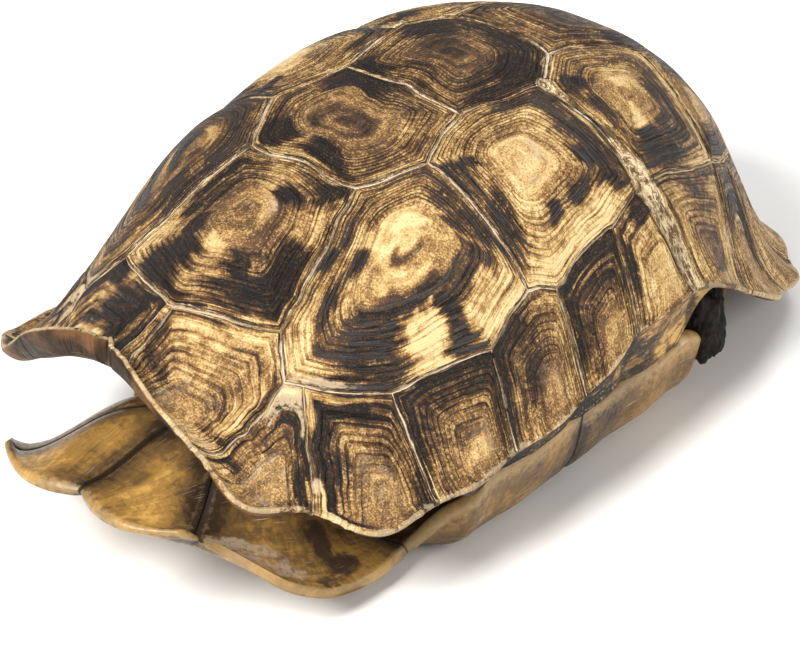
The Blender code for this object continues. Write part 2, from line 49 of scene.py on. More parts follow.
# Camera: bearing round the object, height above the horizon and lean, in degrees, and distance.
CAMERA_AZIMUTH = 47.59
CAMERA_ELEVATION = 32.38
CAMERA_ROLL = -6.32
CAMERA_DISTANCE = 1.05
CAMERA_TARGET = (0.0, 0.0015, 0.04)
CAMERA_AIM = (-0.00078, -0.01530)
CAMERA_LENS = 216.3

# The upper shell's dome, in millimetres, as the CAD has it.
HALF_WIDTH = 58.6
FRONT_LENGTH = 87.5
REAR_LENGTH = 91.5
FRONT_SQUARENESS = 3.2
REAR_SQUARENESS = 2.0
CROWN_HEIGHT = 79.0
CROWN_ALONG = 1.8
NECK_NOTCH = 5.0
NECK_NOTCH_WIDTH = math.radians(11.0)
FLARE_START = 0.72
FLARE_START_CHANGE = 0.12
FLARE_POWER = 2.8
SHELL_ALONG = 1.5

# Around the rim, from the head to the tail in equal steps of the bearing.
RIM_HEIGHT = (52.5, 41.0, 27.5, 26.5, 29.0, 34.5, 33.0, 14.5, 4.0, 3.0)
RIM_LIFT = (12.0, 9.0, 3.5, 2.0, 1.0, 2.0, 2.0, 0.0, 0.5, 2.0)
RIM_FLARE = (2.5, 6.0, 5.5, 3.5, 2.0, 1.0, 2.5, 6.0, 7.5, 5.0)
RIM_LEAN = (0.0, 3.6, 2.2, 0.0, 0.0, 0.0, 0.0, 0.0, 0.0, 0.0)
CROWN_FLATNESS = (1.95, 1.95, 2.4, 2.95, 2.95, 3.0, 3.3, 3.8, 3.85, 3.1)
FLANK_BULGE = (0.98, 0.94, 0.82, 0.66, 0.61, 0.61, 0.61, 0.6, 0.57, 0.52)

# The seams that reach the rim, as bearings, and how far the rim bulges between them.
RIM_SEAMS = (1.6, 17.0, 31.5, 47.5, 62.5, 81.0, 98.0, 116.0, 130.0, 144.0, 158.0, 171.0)
RIM_BULGES = (-0.5, 0.4, 2.2, 1.6, 0.8, 0.6, 0.6, 0.8, 1.2, 1.4, 1.6, 1.2, 0.8)
LEFT_FRONT_ENDS = (0.7, 1.1)
BULGE_START = 0.8
BULGE_HANG = 0.6

# Where the front rim hangs down or is drawn in, beyond a share of the way out: the bearing and the
# half width in degrees, the drop and the reach in millimetres.
RIM_DROOPS = ((2.0, 8.0, 2.8, 1.8), (-23.0, 8.0, 4.2, -4.6))
DROOP_START = 0.74

# About how many millimetres the flat map's unit spans, across and along the back.
MAP_SCALE = (92.0, 140.0)

# Seam corners on the flat map of the dome: across, along.
CORNERS = {
    "nuchal": (0.008, -0.590), "v1_c1_m1": (0.189, -0.479), "v1_v2": (0.118, -0.206),
    "v2_c1_c2": (0.232, -0.136), "v2_v3": (0.188, 0.034), "v3_c2_c3": (0.192, 0.218),
    "v3_v4": (0.105, 0.264), "v4_c3_c4": (0.148, 0.468), "v4_v5": (0.100, 0.560),
    "v5_c4_m11": (0.200, 0.745), "v5_m11_tail": (0.075, 0.800), "c1_m1_m2": (0.254, -0.558),
    "c1_m2_m3": (0.285, -0.546), "c1_m3_m4": (0.439, -0.491), "c1_m4_m5": (0.638, -0.338),
    "c1_c2_m5": (0.636, -0.173), "c2_m5_m6": (0.696, -0.095), "c2_m6_m7": (0.661, 0.154),
    "c2_c3_m7": (0.575, 0.306), "c3_c4_m8": (0.412, 0.578), "c4_m9_m10": (0.355, 0.650),
    "c4_m10_m11": (0.275, 0.720),
}
MIDLINE = {"v1_v2_mid": -0.206, "v2_v3_mid": 0.031, "v3_v4_mid": 0.262, "v4_v5_mid": 0.575}
HINGE_CORNERS = ("v3_c2_c3", "c2_c3_m7", "rim_7")

# Scutes along the back: name, the left half of their ring of corners, and where along the back
# the first-grown field lies.
VERTEBRALS = (
    ("vertebral_1", ("nuchal", "v1_c1_m1", "v1_v2", "v1_v2_mid"), -0.340),
    ("vertebral_2", ("v1_v2_mid", "v1_v2", "v2_c1_c2", "v2_v3", "v2_v3_mid"), -0.110),
    ("vertebral_3", ("v2_v3_mid", "v2_v3", "v3_c2_c3", "v3_v4", "v3_v4_mid"), 0.130),
    ("vertebral_4", ("v3_v4_mid", "v3_v4", "v4_c3_c4", "v4_v5", "v4_v5_mid"), 0.415),
    ("vertebral_5", ("v4_v5_mid", "v4_v5", "v5_c4_m11", "v5_m11_tail"), 0.680),
)
COSTALS = (
    ("costal_1", ("v1_c1_m1", "v1_v2", "v2_c1_c2", "c1_c2_m5", "c1_m4_m5", "c1_m3_m4",
                  "c1_m2_m3", "c1_m1_m2"), (0.286, -0.275)),
    ("costal_2", ("v2_c1_c2", "v2_v3", "v3_c2_c3", "c2_c3_m7", "c2_m6_m7", "c2_m5_m6",
                  "c1_c2_m5"), (0.400, 0.020)),
    ("costal_3", ("v3_c2_c3", "v3_v4", "v4_c3_c4", "c3_c4_m8", "c2_c3_m7"), (0.300, 0.350)),
    ("costal_4", ("v4_c3_c4", "v4_v5", "v5_c4_m11", "c4_m10_m11", "c4_m9_m10",
                  "c3_c4_m8"), (0.265, 0.570)),
)
MARGINAL_TOPS = (
    ("nuchal", "v1_c1_m1", "c1_m1_m2"), ("c1_m1_m2", "c1_m2_m3"), ("c1_m2_m3", "c1_m3_m4"),
    ("c1_m3_m4", "c1_m4_m5"), ("c1_m4_m5", "c1_c2_m5", "c2_m5_m6"), ("c2_m5_m6", "c2_m6_m7"),
    ("c2_m6_m7", "c2_c3_m7"), ("c2_c3_m7", "c3_c4_m8"), ("c3_c4_m8", "c4_m9_m10"),
    ("c4_m9_m10", "c4_m10_m11"), ("c4_m10_m11", "v5_c4_m11", "v5_m11_tail"),
)

# Relief of the scutes, in millimetres: the grooves of the seams and the hinge, their wandering,
# the lip beside them, the rise of the first field, and the rounding and tuck of the edge. The lip's
# place and width are in widths of the groove.
SEAM_DEPTH = 0.42
HINGE_DEPTH = 1.0
SEAM_WIDTH = 0.5
HINGE_WIDTH = 2.6
HINGE_SPREAD = (1.6, 3.4, 2.2)
RIM_SEAM_SHARE = 0.45
SHALLOW_FROM = 0.7
LIP = 0.06
SEAM_WANDER = 0.5
STILL_AT_RIM = (0.86, 0.99)
COSTAL_RISE = 1.0
MARGINAL_RISE = 0.5
RIM_ROUND = 0.45
TUCK = 0.12
RISE_POWER = 1.6
CALM_WIDTH = 2.5
LIP_PLACE = 2.2
LIP_WIDTH = 0.9

# Growth rings: the depths of their grooves in millimetres, the least and what chance adds, how
# seldom it adds much, their width, and how crowded they may get before they fade.
RING_DEPTHS = (0.05, 0.22)
RING_VARIETY = 2.5
RING_WIDTH = 0.24
CROWDED = (0.3, 0.65)

# Noises as relief: height, size and seed of each.
LUMPS = ((0.28, 13.0, 21), (0.14, 5.0, 22), (0.03, 1.1, 23))
PLASTRON_LUMPS = ((0.1, 9.0, 51), (0.05, 3.0, 52))
BLOTCH_EDGES = ((0.3, 4.5, 53), (0.15, 1.6, 54))

# Wall of the upper shell, and the flange above each bridge.
WALL = 3.0
RIM_WALL_SHARE = 0.36
BRIDGE_WALL_SHARE = 0.8
THIN_FROM = 0.60
BONE_SHARE = 0.58
HORN_SHARE = 0.6
UNDER_HORN = (0.84, 0.90)
FLANGE_BEARINGS = (49.0, 58.0, 112.0, 121.0)
FLANGE_IN = 5.6
FLANGE_FOOT = 20.0
FLANGE_WALL = 2.4
FLANGE_HOLLOW = 1.5
FLANGE_HEIGHT = 14.0
MM_PER_DEGREE = 0.95

# The lower shell, station by station: place, half width, height of its underside on the midline
# and at the edge, how late it turns up, and its thickness in the middle and at the edge.
PLASTRON_STATIONS = (
    (-96.0, 26.0, 31.0, 30.8, 2.0, 2.5, 1.8),
    (-94.0, 28.0, 29.0, 29.6, 2.0, 3.7, 1.8),
    (-92.0, 31.5, 27.8, 27.4, 2.0, 4.6, 1.8),
    (-89.0, 35.8, 26.5, 23.6, 2.0, 6.1, 1.9),
    (-86.0, 38.5, 25.0, 19.8, 2.0, 8.0, 2.0),
    (-81.0, 41.5, 23.0, 13.4, 2.0, 11.6, 2.2),
    (-72.5, 44.2, 19.0, 7.8, 2.0, 16.0, 2.6),
    (-64.0, 44.2, 12.5, 5.2, 2.2, 17.0, 2.8),
    (-56.0, 43.4, 5.0, 3.8, 2.6, 8.0, 2.8),
    (-48.0, 42.2, 1.0, 3.6, 3.0, 4.0, 3.0),
    (-43.0, 45.0, 0.0, 7.0, 4.0, 3.6, 3.0),
    (-38.5, 51.5, 0.0, 15.5, 5.0, 3.6, 3.0),
    (-34.0, 54.0, 0.0, 19.8, 5.5, 3.6, 3.0),
    (0.0, 54.4, 0.0, 19.8, 5.5, 3.6, 3.0),
    (33.0, 53.0, 0.0, 19.8, 5.5, 3.6, 3.0),
    (38.0, 50.0, 0.0, 16.0, 5.0, 3.6, 3.0),
    (42.0, 43.5, 0.0, 8.0, 4.0, 3.6, 3.0),
    (45.0, 38.5, 0.0, 2.5, 3.0, 3.6, 2.8),
    (54.0, 37.5, 0.5, 1.5, 2.5, 3.6, 2.6),
    (65.0, 33.0, 1.5, 2.5, 2.0, 3.6, 2.4),
    (75.0, 25.0, 3.0, 4.5, 2.0, 3.6, 2.2),
    (83.0, 14.0, 5.0, 6.0, 2.0, 3.4, 2.0),
)
PLASTRON_PLATES = (("gular", -96.0, -68.0), ("humeral", -68.0, -47.5), ("pectoral", -47.5, -4.0),
                   ("abdominal", -4.0, 41.0), ("femoral", 41.0, 63.0), ("anal", 63.0, 83.0))
SLANT_ROWS = (-96.0, -68.0, -47.5)
SLANT = -25.0
SLANT_POWER = 1.4
STATION_BLUR = 3.5
WING_ENDS = (-41.0, -35.0, 34.0, 40.0)
PLASTRON_FLAT = 0.5
FLAT_ROWS = (-60.0, -48.0)
SHELF_SHARES = (0.25, 0.9)
GULAR_ROWS = (-78.0, -96.0)
GULAR_LEAD = 2.9
GULAR_BULGE = 4.7
TAIL_ROWS = (66.0, 82.0)
TAIL_POINT = 5.0
PLASTRON_SEAM_DEPTH = 0.45
PLASTRON_SEAM_WIDTH = 1.1
PLASTRON_ROUND = 1.3
SIDE_ROUND = 0.7
THIN_HALF = 0.8

# The crust of dried tissue in the left groin notch.
CRUST_CENTRE = (47.5, 42.5, 18.5)
CRUST_RADII = (6.5, 5.6, 10.5)

# Markings of each scute: angle round its first field in degrees, from the tail, 0, over the
# flank, 90, to the head, 180; half the spread; from and to, as shares of the way out; strength.
# Those of the lower shell: place along the plate and half its length, place across it and half
# its width, as shares of the plate; strength.
DARK = {
    "vertebral_1": ((-164, 15, 0.45, 0.95, 1.1), (-135, 15, 0.34, 0.52, 0.9), (-100, 11, 0.6, 0.8, 1.0),
                    (155, 7, 0.45, 0.66, 1.0), (124, 29, 0.6, 0.92, 1.1), (20, 11, 0.35, 0.6, 1.0),
                    (30, 7, 0.75, 1.1, 1.0), (-55, 25, 0.78, 0.9, 0.6)),
    "vertebral_2": ((-30, 32, 0.5, 1.1, 0.95), (-135, 16, 0.5, 0.9, 1.0), (170, 20, 0.5, 0.86, 1.0)),
    "vertebral_3": ((55, 17, 0.5, 0.92, 1.0), (-45, 16, 0.45, 0.9, 0.9), (-135, 16, 0.68, 0.92, 0.9),
                    (10, 20, 0.7, 0.9, 0.7)),
    "vertebral_4": ((60, 30, 0.5, 0.9, 0.8), (-60, 30, 0.5, 0.9, 0.8)),
    "vertebral_5": ((90, 40, 0.5, 0.9, 0.8), (-90, 40, 0.5, 0.9, 0.8)),
    "costal_1": ((166, 17, 0.43, 0.8, 0.95), (163, 14, 0.76, 1.1, 0.9), (-135, 17, 0.45, 0.58, 0.9),
                 (-162, 14, 0.6, 0.74, 0.8), (-127, 10, 0.8, 1.1, 0.95), (-88, 30, 0.75, 0.82, 0.9),
                 (-27, 24, 0.85, 1.0, 0.85), (16, 18, 0.52, 0.95, 0.72), (43, 13, 0.42, 0.92, 1.05),
                 (52, 10, 0.86, 1.1, 1.1), (68, 9, 0.42, 0.72, 1.0), (86, 11, 0.4, 0.6, 0.7),
                 (117, 8, 0.48, 0.98, 1.2), (143, 6, 0.42, 0.55, 1.0), (131, 4, 0.42, 0.56, 0.9),
                 (104, 12, 0.42, 0.62, 0.6), (132, 60, 0.08, 0.15, 0.5)),
    "costal_1-right": ((0, 200, 0.0, 1.1, 0.8),),
    "costal_2": ((-153, 6, 0.5, 1.1, 1.1), (161, 14, 0.55, 1.1, 1.05), (-167, 14, 0.76, 1.1, 0.8),
                 (95, 11, 0.44, 0.62, 1.1), (45, 16, 0.5, 0.66, 0.95), (12, 8, 0.5, 0.66, 0.9),
                 (28, 6, 0.64, 0.86, 0.9), (-40, 21, 0.74, 1.1, 0.95), (5, 22, 0.64, 0.9, 0.45)),
    "costal_3": ((75, 18, 0.42, 0.72, 1.1), (66, 27, 0.68, 0.97, 0.8), (5, 36, 0.38, 0.72, 0.62),
                 (-152, 10, 0.5, 0.8, 0.8), (160, 25, 0.5, 0.72, 0.65)),
    "costal_4": ((60, 40, 0.5, 0.9, 0.8), (-100, 30, 0.5, 0.9, 0.7)),
    "marginal_1": ((-36, 14, 0.5, 1.1, 0.3), (52, 9, 0.78, 1.1, 0.6)),
    "marginal_1-right": ((-16, 9, 0.62, 0.9, 0.9), (3, 10, 0.5, 0.62, 0.8), (4, 8, 0.86, 1.1, 0.9),
                         (-30, 10, 0.5, 0.8, 0.7)),
    "marginal_2": ((75, 78, 0.55, 0.95, 0.25), (-128, 12, 0.6, 0.9, 0.5), (0, 24, 0.82, 0.92, 1.0),
                   (62, 44, 0.52, 0.76, 0.9)),
    "marginal_3": ((-38, 13, 0.74, 1.0, 0.6), (-95, 26, 0.6, 1.1, 0.45), (60, 40, 0.6, 0.9, 0.2),
                   (-80, 50, 0.76, 0.88, 1.0), (-150, 40, 0.7, 0.84, 1.0)),
    "marginal_4": ((-70, 52, 0.45, 0.85, 0.22), (-72, 60, 0.84, 1.1, 0.5)),
    "marginal_5": ((-112, 50, 0.36, 0.95, 0.25), (-110, 44, 0.88, 1.1, 0.5)),
    "marginal_6": ((-112, 60, 0.4, 0.95, 0.35), (-100, 60, 0.86, 1.1, 0.6)),
    "marginal_7": ((-105, 16, 0.74, 1.1, 0.8), (-165, 18, 0.7, 0.95, 0.55), (-45, 25, 0.86, 1.1, 0.4)),
    "marginal_8": ((0, 180, 0.0, 0.35, 0.25), (-115, 20, 0.7, 0.9, 0.5), (120, 20, 0.9, 1.1, 1.0)),
    "gular": ((0.96, 0.12, 0.93, 0.06, 1.1), (0.75, 0.1, 0.86, 0.05, 0.7), (0.5, 0.4, 0.04, 0.05, 0.6)),
    "humeral": ((0.56, 0.08, 0.74, 0.12, 1.0), (0.64, 0.16, 0.88, 0.08, 0.9), (0.8, 0.14, 0.72, 0.1, 0.8),
                (0.46, 0.1, 0.95, 0.05, 0.8)),
    "marginal_9": ((-90, 60, 0.5, 0.9, 0.8),),
    "marginal_10": ((-90, 60, 0.5, 0.9, 0.8),),
    "marginal_11": ((-90, 60, 0.5, 0.9, 0.8),),
}
PALE = {
    "vertebral_1": ((0, 11, 0.3, 0.86, 0.9), (180, 11, 0.3, 0.86, 0.9), (-125, 16, 0.68, 0.92, 0.8),
                    (148, 5, 0.83, 0.96, 1.2), (62, 24, 0.45, 0.9, 0.5), (112, 40, 0.93, 1.1, 0.9),
                    (60, 60, 0.14, 0.32, 0.45)),
    "costal_1": ((0, 200, -0.1, 0.16, 0.85), (-42, 40, 0.1, 0.44, 1.1), (-108, 46, 0.1, 0.42, 1.0),
                 (-5, 30, 0.1, 0.32, 1.0),
                 (-100, 20, 0.42, 0.7, 0.8), (150, 40, 0.2, 0.29, 0.8), (137, 13, 0.48, 1.1, 1.2),
                 (88, 24, 0.64, 1.1, 0.95), (-166, 16, 0.76, 0.96, 0.6), (-140, 20, 0.2, 0.36, 0.8)),
    "costal_2": ((0, 200, -0.1, 0.34, 0.55), (90, 52, 0.6, 1.1, 1.1), (130, 15, 0.35, 0.6, 0.6)),
    "costal_3": ((-70, 45, 0.1, 0.5, 0.7), (75, 17, 0.12, 0.4, 0.9), (10, 55, 0.86, 1.1, 0.6),
                 (140, 30, 0.72, 1.1, 0.6)),
    "marginal_1": ((22, 18, 0.58, 0.9, 1.0), (-15, 16, 0.4, 1.1, 0.8), (130, 60, 0.3, 1.1, 0.5)),
    "marginal_1-right": ((-14, 20, 0.2, 0.56, 1.0), (8, 14, 0.64, 0.88, 0.5)),
    "marginal_2": ((0, 24, 0.93, 1.1, 1.5), (62, 44, 0.78, 1.1, 1.5), (-60, 30, 0.3, 0.8, 0.5)),
    "marginal_3": ((-46, 16, 0.2, 0.7, 0.5), (60, 60, 0.1, 0.6, 0.35), (-75, 50, 0.9, 1.1, 1.5),
                   (-150, 40, 0.85, 1.1, 1.5)),
    "marginal_4": ((40, 90, -0.1, 0.6, 0.5), (-150, 40, 0.1, 0.5, 0.4)),
    "marginal_5": ((-150, 10, 0.68, 0.92, 0.8), (30, 100, -0.1, 0.55, 0.5), (0, 60, 0.5, 1.1, 0.5)),
    "marginal_6": ((20, 100, -0.1, 0.5, 0.4), (30, 60, 0.5, 1.1, 0.5)),
    "marginal_7": ((180, 18, 0.0, 0.6, 0.5), (0, 200, 0.0, 0.7, 0.6)),
    "marginal_8": ((0, 100, 0.4, 0.9, 0.8), (180, 60, 0.5, 0.9, 0.7)),
    "gular": ((0.4, 0.5, 0.55, 0.36, 1.15),),
    "gular-right": ((0.3, 0.4, 0.6, 0.3, 0.8),),
    "humeral": ((0.8, 0.3, 0.5, 0.3, 0.4),),
}
WORN = {
    "vertebral_1": ((50, 60, 0.2, 0.34, 0.6),),
    "costal_2": ((60, 130, 0.08, 0.3, 0.5),),
    "costal_1": ((180, 9, 0.93, 1.1, 0.9),),
    "marginal_1": ((0, 200, -0.1, 0.45, 0.35), (130, 60, 0.3, 1.1, 0.5)),
    "marginal_2": ((165, 18, 0.0, 0.8, 0.4), (0, 200, -0.1, 0.4, 0.4), (-20, 10, 0.8, 1.1, 1.3)),
    "marginal_3": ((0, 200, -0.1, 0.45, 0.35), (-130, 12, 0.86, 1.1, 1.1)),
    "marginal_4": ((0, 200, -0.1, 0.42, 0.35),),
    "marginal_5": ((0, 200, -0.1, 0.36, 0.3),),
    "marginal_6": ((0, 200, -0.1, 0.36, 0.3),),
    "humeral": ((0.1, 0.3, 0.82, 0.12, 0.9), (0.3, 0.2, 0.9, 0.08, 0.8)),
}
BROWN = {
    "vertebral_1": ((0, 200, -0.1, 1.1, 0.3), (-60, 30, 0.4, 1.0, 0.7), (165, 12, 0.7, 1.1, 0.9),
                    (110, 30, 0.5, 1.0, 0.7)),
    "vertebral_2": ((0, 200, 0.3, 1.1, 0.35), (0, 200, 0.0, 0.3, 0.7)),
    "vertebral_3": ((0, 200, 0.3, 1.1, 0.8), (0, 200, 0.0, 0.3, 0.9)),
    "vertebral_4": ((0, 200, 0.0, 1.1, 0.7),),
    "costal_1": ((132, 74, 0.07, 0.16, 1.3), (147, 38, 0.31, 0.46, 1.2), (-138, 14, 0.38, 0.5, 0.9),
                 (-95, 26, 0.2, 0.34, 0.8), (-60, 12, 0.26, 0.36, 0.7), (-100, 30, 0.8, 1.1, 0.6)),
    "costal_2": ((5, 26, 0.55, 0.9, 0.9), (-60, 20, 0.3, 0.6, 0.5)),
    "costal_3": ((0, 200, 0.4, 0.85, 0.5),),
    "costal_4": ((0, 200, 0.3, 1.1, 0.5),),
    "marginal_1": ((0, 200, -0.1, 1.1, 0.3), (45, 16, 0.3, 0.9, 0.9), (-36, 16, 0.4, 1.1, 0.8)),
    "marginal_1-right": ((0, 200, 0.2, 1.1, 0.8),),
    "marginal_2": ((-55, 36, 0.3, 0.9, 0.6), (-135, 16, 0.5, 0.95, 0.8), (70, 80, 0.5, 1.1, 0.6),
                   (-13, 10, 0.66, 0.8, 1.2)),
    "marginal_3": ((0, 200, 0.1, 1.1, 0.6), (-60, 60, 0.3, 1.1, 0.85)),
    "marginal_4": ((0, 200, 0.3, 1.1, 0.7), (-80, 60, 0.2, 1.1, 0.9)),
    "marginal_5": ((0, 200, 0.2, 1.1, 0.5), (-100, 60, 0.2, 1.1, 0.8)),
    "marginal_6": ((0, 200, 0.2, 1.1, 0.6),),
    "marginal_8": ((0, 200, 0.0, 1.1, 0.5),),
}

# The kinds of markings and how far each one's edges wander, how soft the edges are, as shares of
# the way out, and the scale of the flat map on which their angles are measured.
MARKINGS = (DARK, PALE, WORN, BROWN)
MARK_WOBBLES = (0.02, 0.045, 0.05, 0.04)
MARK_EDGE = 0.03
MARK_SCALE = (60.0, 90.0)

# Colours of the upper shell's horn, of the fibre in its seams and hinge, and under the horn.
CREAM = (0.66, 0.49, 0.25)
STRAW = (0.47, 0.315, 0.125)
GOLD = (0.255, 0.138, 0.046)
UMBER = (0.100, 0.052, 0.023)
BLACK_HORN = (0.009, 0.007, 0.006)
CHALK = (0.62, 0.49, 0.31)
# A painted sheen: the bluish-grey highlight laid between black rings.
PAINTED_SHEEN = (0.060, 0.060, 0.064)
SEAM_PALE = (0.62, 0.47, 0.30)
SEAM_BROWN = (0.13, 0.07, 0.035)
SEAM_WHITE = (0.74, 0.63, 0.47)
FIBRE_PALE = (0.74, 0.58, 0.36)
FIBRE_BROWN = (0.12, 0.065, 0.03)
FIBRE_SPLIT = (0.02, 0.013, 0.008)
UNDER_DARK = (0.03, 0.016, 0.008)
UNDER_BROWN = (0.15, 0.07, 0.025)

# Colours of the lower shell, the undersides over the bridges, the bone, the crust and the floor.
AMBER_BLOTCH = (0.030, 0.018, 0.015)
AMBER_WORN = (0.42, 0.32, 0.23)
AMBER_SCRATCH = (0.55, 0.45, 0.30)
AMBER_LIP = (0.46, 0.31, 0.13)
AMBER_CREASE = (0.018, 0.012, 0.009)
AMBER_BESIDE = (0.36, 0.27, 0.16)
FLANGE_SEAM = (0.03, 0.02, 0.014)
BONE_PALE = (0.52, 0.42, 0.28)
BONE_STAINED = (0.30, 0.21, 0.12)
BONE_PORES = (0.16, 0.10, 0.05)
BONE_AT_RIM = (0.10, 0.055, 0.025)
BONE_OUTSIDE = (0.04, 0.025, 0.015)
CRUST_BLACK = (0.004, 0.0035, 0.003)
CRUST_BROWN = (0.020, 0.016, 0.012)
PAPER = (0.86, 0.86, 0.86)
PAPER_GREY = (0.8, 0.8, 0.8)

# Tones of horn: the lightest colour, then from which tone to which it turns into the next.
HORN_TONES = (CREAM, (-0.02, 0.22, STRAW), (0.18, 0.48, GOLD), (0.42, 0.72, UMBER),
              (0.66, 1.02, BLACK_HORN))
AMBER_TONES = ((0.56, 0.33, 0.085), (0.0, 0.3, (0.30, 0.165, 0.042)),
               (0.3, 0.62, (0.125, 0.072, 0.026)), (0.6, 0.95, (0.03, 0.018, 0.010)))
FLANGE_TONES = ((0.56, 0.36, 0.12), (0.0, 0.3, (0.24, 0.125, 0.04)),
                (0.3, 0.6, (0.062, 0.036, 0.018)), (0.6, 0.95, (0.010, 0.008, 0.007)))

# Light: name, place and width of each lamp in metres, its power in watts and its colour.
LAMPS = (
    ("key_light", (0.1, -1.05, 1.15), 0.5, 36.0, (1.0, 0.97, 0.92)),
    ("back_light", (-0.2, 0.9, 1.1), 0.6, 8.0, (0.98, 0.99, 1.0)),
    ("side_light", (1.15, 0.35, 0.55), 0.8, 9.0, (1.0, 0.96, 0.9)),
)
LAMP_TARGET = (0.0, 0.0, 0.03)
ROOM_LIGHT = 0.42
FLOOR_REACH = 4.0


def smooth_step(low, high, value):
    """0 below low, 1 above high, and a smooth rise between."""
    t = np.clip((value - low) / (high - low), 0.0, 1.0)
    return t * t * (3 - 2 * t)


def bell(distance, width):
    """A bell curve: 1 at no distance, and nearly nothing at two widths."""
    return np.exp(-(distance / width) ** 2)


def noise(points, size, seed):
    """Value noise from -1 to 1: a random number at each corner of cubes of the given size,
    blended smoothly inside them. Points are in millimetres."""
    place = points / size + 7.31 * seed
    cell = np.floor(place).astype(np.int64)
    part = place - cell
    part = part * part * (3 - 2 * part)
    total = np.zeros(points.shape[:-1])
    for corner in np.ndindex(2, 2, 2):
        mixed = (cell + corner) @ np.array([73856093, 19349663, 83492791]) + seed * 40503
        mixed = (mixed ^ (mixed >> 13)) * 1274126177 & 0x7FFFFFFF
        value = ((mixed ^ (mixed >> 15)) & 65535) / 32767.5 - 1
        total += value * np.prod(np.where(corner, part, 1 - part), axis=-1)
    return total


def waves(points, rows):
    """A sum of noises, each given by its height, size and seed."""
    return sum(height * noise(points, size, seed) for height, size, seed in rows)


def map_place(bearing, share=1.0):
    """The place on the flat map at a bearing, in radians, and a share of the way out."""
    return np.stack(np.broadcast_arrays(share * np.sin(bearing), -share * np.cos(bearing)), -1)


def bearing_of(flat):
    """Bearings, in radians, of places on the flat map."""
    return np.arctan2(flat[..., 0], -flat[..., 1])


def share_of(flat):
    """Shares of the way from the crown to the rim, of places on the flat map."""
    return np.hypot(flat[..., 0], flat[..., 1])


def round_the_shell(values, bearing):
    """Smooth curve through values at equal steps of the bearing, level at the head and tail."""
    table = np.asarray(values, float)
    last = len(table) - 1
    place = np.clip(np.abs(bearing) / math.pi, 0.0, 1.0) * last
    start = np.minimum(place.astype(int), last - 1)
    t = place - start
    before = table[np.abs(start - 1)]
    after = table[last - np.abs(last - (start + 2))]
    here = table[start]
    there = table[start + 1]
    slope_here = (there - before) / 2
    slope_there = (after - here) / 2
    rise = there - here
    return here + t * (slope_here + t * (3 * rise - 2 * slope_here - slope_there
                                         + t * (slope_here + slope_there - 2 * rise)))


def rim_bulge(bearing):
    """How far the free edge bulges: nothing at a seam, a sine squared between two of them."""
    seams = np.radians(np.array((-RIM_SEAMS[0],) + RIM_SEAMS + (360.0 - RIM_SEAMS[-1],)))
    place = np.interp(np.abs(bearing), seams, np.arange(len(seams)))
    bulge = np.array(RIM_BULGES)[np.minimum(place.astype(int), len(RIM_BULGES) - 1)]
    left_front = (bearing > 0) * (1 - smooth_step(*LEFT_FRONT_ENDS, bearing))
    return bulge * (1 + left_front) * np.sin(math.pi * place) ** 2


def rim_droop(bearing, share):
    """How far the front rim hangs down and how far it reaches out: bell curves round the rim."""
    total = np.zeros((2,) + bearing.shape)
    for centre, spread, drop, out in RIM_DROOPS:
        amounts = np.array([drop, out]).reshape((2,) + (1,) * bearing.ndim)
        total += amounts * bell(np.degrees(bearing) - centre, spread)
    return total * smooth_step(DROOP_START, 1.0, share)


def dome_points(flat):
    """Points of the dome, in millimetres, for places on its flat map.

    The plan is a superellipse, abs(x/a)**p + abs(y/b)**p = 1, whose length and power change from
    head to tail. Each meridian falls from the crown to the rim as (1 - s**p)**q, with s the sine
    of the share of the way out, and the last part flares up and out as a power of what is left.
    """
    bearing = bearing_of(flat)
    share = share_of(flat)
    cosine = np.cos(bearing)
    sine = np.sin(bearing)
    front = (1 + cosine) / 2
    length = REAR_LENGTH + (FRONT_LENGTH - REAR_LENGTH) * front
    power = REAR_SQUARENESS + (FRONT_SQUARENESS - REAR_SQUARENESS) * front
    outline = (np.abs(sine) / HALF_WIDTH) ** power + (np.abs(cosine) / length) ** power
    radius = outline ** (-1 / power)
    s = np.sin(np.clip(share, 0.0, 1.0) * math.pi / 2)
    rim = round_the_shell(RIM_HEIGHT, bearing)
    flatness = round_the_shell(CROWN_FLATNESS, bearing)
    bulge = round_the_shell(FLANK_BULGE, bearing)
    start = FLARE_START - FLARE_START_CHANGE * cosine
    flare = np.clip((share - start) / (1 - start), 0.0, 1.0) ** FLARE_POWER
    notch = NECK_NOTCH * bell(bearing, NECK_NOTCH_WIDTH)
    bulge_out = rim_bulge(bearing) * smooth_step(BULGE_START, 1.0, share)
    drop, out = rim_droop(bearing, share)
    reach = radius * s + (round_the_shell(RIM_FLARE, bearing) - notch) * flare + bulge_out + out
    lean = np.sign(bearing) * round_the_shell(RIM_LEAN, bearing)
    lift = (round_the_shell(RIM_LIFT, bearing) - lean) * flare
    height = rim + (CROWN_HEIGHT - rim) * np.clip(1 - s ** flatness, 0.0, 1.0) ** bulge
    height = height + lift - BULGE_HANG * bulge_out - drop
    return np.stack([reach * sine, CROWN_ALONG + SHELL_ALONG - reach * cosine, height], -1)


def unit(vectors):
    """The vectors, each divided by its length."""
    return vectors / np.maximum(np.linalg.norm(vectors, axis=-1, keepdims=True), 1e-9)


def dome_normals(flat):
    """Outward normals of the dome: the cross product of its slopes over small steps."""
    step = 0.004
    share = np.maximum(share_of(flat)[..., None], 1e-6)
    inside = flat * np.minimum(1.0, (1 - 2 * step) / share)
    du = dome_points(inside + (step, 0)) - dome_points(inside - (step, 0))
    dv = dome_points(inside + (0, step)) - dome_points(inside - (0, step))
    return unit(np.cross(du, dv))


def flange_share(bearing):
    """How far the flange over the bridge is developed at a bearing in degrees, 0 to 1."""
    start, full, fading, end = FLANGE_BEARINGS
    return smooth_step(start, full, bearing) * (1 - smooth_step(fading, end, bearing))


